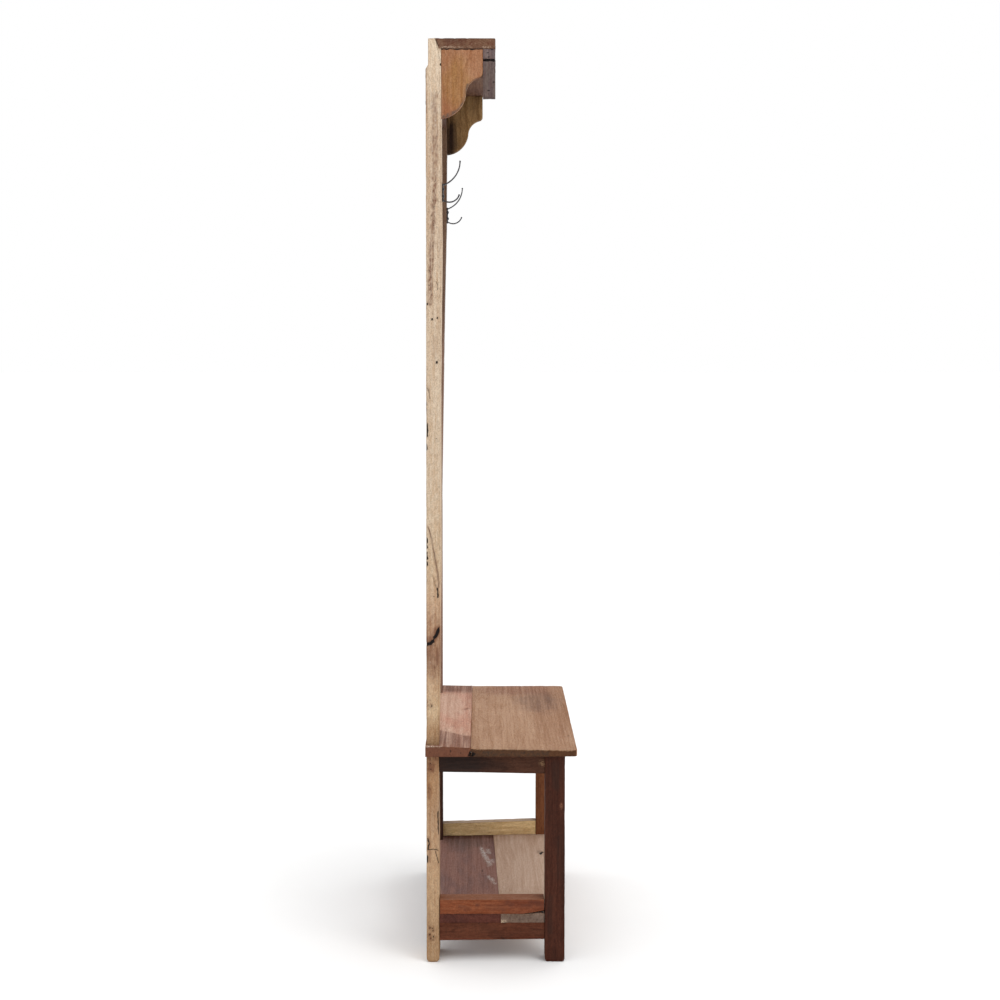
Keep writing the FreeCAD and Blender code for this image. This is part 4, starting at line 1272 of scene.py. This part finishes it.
def build_crown():
    """The top board, and the two blocks under its front left corner."""
    top = wood("crown_wood", X, (121, 91, 72), dark=(0.58, 0.48, 0.44), ring=0.6, streak=0.8, gap=5,
               pith=(60, 1740), gloss=0.7, blotch=((94, 66, 56), 0.7), end=(1.1, 1.14, 1.12),
               edge=(0.66, 0.64, 0.68), stain=(88, 46, 32), pale=(176, 152, 132))
    split = CROWN_UNDERSIDE / MM - 20
    # Below the split the blocks take a darker grey as painted shade; above it they are lighter.
    shaded_block_tone = (107, 94, 86)
    zones = ((0, shaded_block_tone), (split - 4, shaded_block_tone), (split + 4, (126, 113, 107)))
    grey = wood("block_wood", Z, shaded_block_tone, dark=(0.66, 0.60, 0.62), ring=0.45, streak=0.9, gap=4,
                zones=zones, pith=(-260, -120), gloss=0.72, blotch=((96, 82, 86), 0.7),
                end=(0.72, 0.66, 0.66), edge=(0.80, 0.74, 0.74), stain=(92, 66, 62))
    front, rear = outline_of("crown_top_board", LEFT_X)
    crown = board("crown_top_board", X, step=(5, 3, 1.8), ease=1.8, shape=follow(Y, Z, front, rear),
                  marks=top_board_marks, seed=91, tight=((Z, -1),))
    paint(crown, top)
    blocks = (("front_block_upper", 1.4, -1, 92), ("front_block_lower", 3.2, 1, 93))
    for node, ease, joint, seed in blocks:
        block = board(node, Z, step=(2, 2, 2), ease=ease, marks=partial(block_marks, node), seed=seed,
                      nick=0.9, tight=((Y, 1), (Z, joint)))
        paint(block, grey)


# ---------------------------------------------------------------- brackets and hooks
def remeshed(piece, voxel, rounds):
    """Turns a mesh into one even skin of small quads and softens its sharp edges."""
    even = piece.modifiers.new("even", "REMESH")
    even.mode = "VOXEL"
    even.voxel_size = voxel
    even.adaptivity = 0.0
    soft = piece.modifiers.new("soft", "SMOOTH")
    soft.factor = 0.5
    soft.iterations = rounds
    bpy.context.view_layer.update()
    shown = piece.evaluated_get(bpy.context.evaluated_depsgraph_get())
    mesh = bpy.data.meshes.new_from_object(shown)
    piece.modifiers.clear()
    piece.data = mesh
    mesh.shade_smooth()
    points = np.zeros(len(mesh.vertices) * 3)
    mesh.vertices.foreach_get("co", points)
    normals = np.zeros(len(mesh.vertices) * 3)
    mesh.vertices.foreach_get("normal", normals)
    return points.reshape(-1, 3), normals.reshape(-1, 3)


def set_points(piece, points):
    """Moves the points of a mesh."""
    if not np.isfinite(points).all():
        raise ValueError(piece.name + " has points that aren't numbers")
    piece.data.vertices.foreach_set("co", points.astype(np.float32).ravel())
    piece.data.update()


def copy_of(node, name):
    """A new object with a copy of a CAD node's mesh."""
    piece = bpy.data.objects.new(name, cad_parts[node].data.copy())
    piece.data.name = name
    piece.data.materials.clear()
    bpy.context.scene.collection.objects.link(piece)
    return piece


def bracket_marks(marks, node, side):
    """Grey weathering along the scrolled edge, and a painted shadow where the outer face meets the crown."""
    low, high = corners_of(node)
    outer = (low, high)[side > 0][X]
    scroll = mesh_points(node)
    scroll = scroll[np.abs(scroll[:, X] - outer) < 2.5 * MM]
    scroll = scroll[(scroll[:, Y] < high[Y] - 4 * MM) & (scroll[:, Z] < low[Z] + 62 * MM)]
    scroll = scroll[np.argsort(scroll[:, Z])]
    marks.add_stain(list(scroll), 6.5, 0.95, (0.6, 1, 1), core=0.35)
    # A painted shadow line along the top of the outer face, under the crown.
    crown_shadow_line = [(outer, high[Y], high[Z]), (outer, low[Y], high[Z])]
    marks.add_crack(crown_shadow_line, 3.4, 0.3, 1.0, (0.6, 1, 1))


def build_brackets():
    """The scrolled brackets, with softened and worn edges."""
    golden = ((-0.33, 0.05, 1.66), (-0.27, 0.12, 1.77), (160, 122, 76), 0.7)
    warm = wood("bracket_wood", Z, (164, 122, 93), dark=(0.68, 0.56, 0.46), ring=0.55, streak=0.8, gap=5,
                pith=(-180, 70), gloss=0.66, blotch=((150, 98, 66), 0.7), edge=(0.6, 0.6, 0.6),
                stain=(92, 76, 66), patch=(golden,))
    shaded = ((0.235, 0.085, 1.63), (0.325, 0.13, 1.74), (48, 32, 25), 1.0)
    olive = wood("bracket_wood_olive", Z, (146, 116, 78), dark=(0.58, 0.50, 0.42), ring=0.5,
                 streak=0.9, gap=6, pith=(200, 60), gloss=0.7, blotch=((96, 70, 46), 0.6),
                 edge=(0.6, 0.58, 0.56), patch=(shaded,))
    for (name, side), material in zip(SIDES, (warm, olive)):
        node = "crown_bracket_" + name
        piece = copy_of(node, node + "_wood")
        points, normals = remeshed(piece, 1.1 * MM, 5)
        across = np.abs(normals[:, X])
        edge = smooth_step(4 * across**2 * (1 - across**2), 0.25, 0.9)
        low, high = corners_of(node)
        edge[points[:, Z] > high[Z] - 2 * MM] = 0
        scars = Marks(points)
        bracket_marks(scars, node, side)
        wave = (rough_noise(points, (30 * MM, 30 * MM, 90 * MM), 101 + side) + 1) * 0.2 * MM
        chips = smooth_step(noise(points, 9 * MM, 105 + side), 0.3, 0.8) * edge
        free = 1 - smooth_step(np.maximum(normals[:, Y], normals[:, Z]), 0.3, 0.8)
        set_points(piece, points - normals * (free * (wave + chips * 1.2 * MM))[:, None])
        end = smooth_step(np.abs(normals[:, Z]), 0.75, 0.95) * 0.5
        store(piece, edge=edge, end=end, crack=scars.crack, stain=scars.stain, pale=scars.pale)
        paint(finish_piece(piece, node), material)


def build_hooks():
    """The forged hooks, softened and hammered, and their slotted screws."""
    metal = iron()
    for name, side in SIDES:
        node = "coat_hook_" + name
        piece = copy_of(node, node + "_iron")
        points, normals = remeshed(piece, 0.45 * MM, 3)
        dents = (noise(points, 4.5 * MM, 111 + side) + 1) * 0.16 * MM
        dents += (noise(points, 1.6 * MM, 113 + side) + 1) * 0.05 * MM
        strongest = np.abs(normals).max(axis=1)
        edge = smooth_step(1 - strongest, 0.05, 0.22)
        set_points(piece, points - normals * dents[:, None])
        store(piece, edge=edge)
        paint(finish_piece(piece, node), metal)
    screws = copy_of("hook_screws", "hook_screws_iron")
    paint(finish_piece(screws, "hook_screws"), metal)


def dress_fasteners():
    """Metal for the screws and nails that are kept as CAD nodes."""
    metal = old_steel()
    for node in ("bracket_screws", "crown_nails", "block_nails", "seat_screws", "shelf_screws"):
        paint(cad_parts[node], metal)


# ---------------------------------------------------------------- room
FLOOR_HALF = 150.0  # half the floor's side, in metres


def build_floor():
    """A plain pale floor."""
    corners = ((-1, -1, 0), (1, -1, 0), (1, 1, 0), (-1, 1, 0))
    points = np.array(corners, float) * FLOOR_HALF
    floor = mesh_object("floor", points, np.array([[0, 1, 2, 3]]))
    nodes = Nodes("floor")
    place = nodes.place()
    cloud = nodes.noise(place, 3.0, 3.0)
    colour = nodes.mix(cloud, (0.86, 0.86, 0.86, 1), (0.90, 0.90, 0.90, 1))
    paint(floor, nodes.finish(colour, 0.9, cloud, bump=0.1 * MM, specular=0.1))


# Each soft lamp's name, place, size in metres and power in watts.
LAMPS = (
    ("key", (-2.6, -2.2, 2.9), 1.6, 28.0),
    ("fill", (2.4, -2.6, 2.0), 2.0, 10.0),
    ("back", (1.0, 3.0, 2.4), 2.0, 10.0),
)
LAMP_COLOUR = (1.0, 0.995, 0.985)
MIDDLE = (0.0, 0.0, 0.9)
SUN_STRENGTH = 0.6
SUN_WIDTH = math.radians(60)
SUN_AIM = (0.35, 0.35, -1.0)


def area_light(name, place, size, power):
    """A soft square light aimed at the object's middle."""
    lamp = bpy.data.lights.new(name, "AREA")
    lamp.size = size
    lamp.energy = power
    lamp.color = LAMP_COLOUR
    light = bpy.data.objects.new(name, lamp)
    light.location = place
    light.rotation_euler = direction(np.array(MIDDLE) - np.array(place))
    bpy.context.scene.collection.objects.link(light)


def direction(aim):
    """The rotation that turns a camera or a light to look along a vector."""
    flat = math.hypot(aim[0], aim[1])
    pitch = math.atan2(aim[2], flat)
    heading = math.atan2(aim[1], aim[0])
    return (math.pi / 2 + pitch, 0.0, heading - math.pi / 2)


def build_light():
    """A white room, three soft lamps and a wide sun."""
    scene = bpy.context.scene
    world = bpy.data.worlds.new("white room")
    world.use_nodes = True
    background = world.node_tree.nodes["Background"].inputs
    background["Color"].default_value = (1.0, 1.0, 1.0, 1.0)
    background["Strength"].default_value = 1.0
    scene.world = world
    for lamp in LAMPS:
        area_light(*lamp)
    sun = bpy.data.lights.new("sky", "SUN")
    sun.energy = SUN_STRENGTH
    sun.angle = SUN_WIDTH
    overhead = bpy.data.objects.new("sky", sun)
    overhead.rotation_euler = direction(SUN_AIM)
    scene.collection.objects.link(overhead)
    scene.view_settings.view_transform = "Standard"


FOCAL_LENGTH = 61.96
SENSOR_WIDTH = 36.0
SHIFT_UP = -0.02  # as far as the other views can take without cutting the posts
CAMERA_DISTANCE = 3.3299  # from the left face
CAMERA_FORWARD = 109.5  # millimetres from the posts' rear face
CAMERA_HEIGHT = 1.1889
CAMERA_YAW = math.radians(0.618)
CAMERA_PITCH = math.radians(4.003)


def build_camera():
    """A camera at the left side, at the height of a person's chest, turned a little forward."""
    scene = bpy.context.scene
    lens = bpy.data.cameras.new("camera")
    lens.lens = FOCAL_LENGTH
    lens.sensor_width = SENSOR_WIDTH
    lens.shift_y = SHIFT_UP
    camera = bpy.data.objects.new("camera", lens)
    camera.location = (LEFT_X - CAMERA_DISTANCE, REAR_Y - CAMERA_FORWARD * MM, CAMERA_HEIGHT)
    level = math.cos(CAMERA_PITCH)
    aim = (math.cos(CAMERA_YAW) * level, -math.sin(CAMERA_YAW) * level, -math.sin(CAMERA_PITCH))
    camera.rotation_euler = direction(aim)
    scene.collection.objects.link(camera)
    scene.camera = camera


build_posts()
build_legs()
build_side_rails()
build_cross_rails()
build_seat()
build_shelf()
build_gallery()
build_crown()
build_brackets()
build_hooks()
dress_fasteners()
build_floor()
build_light()
build_camera()
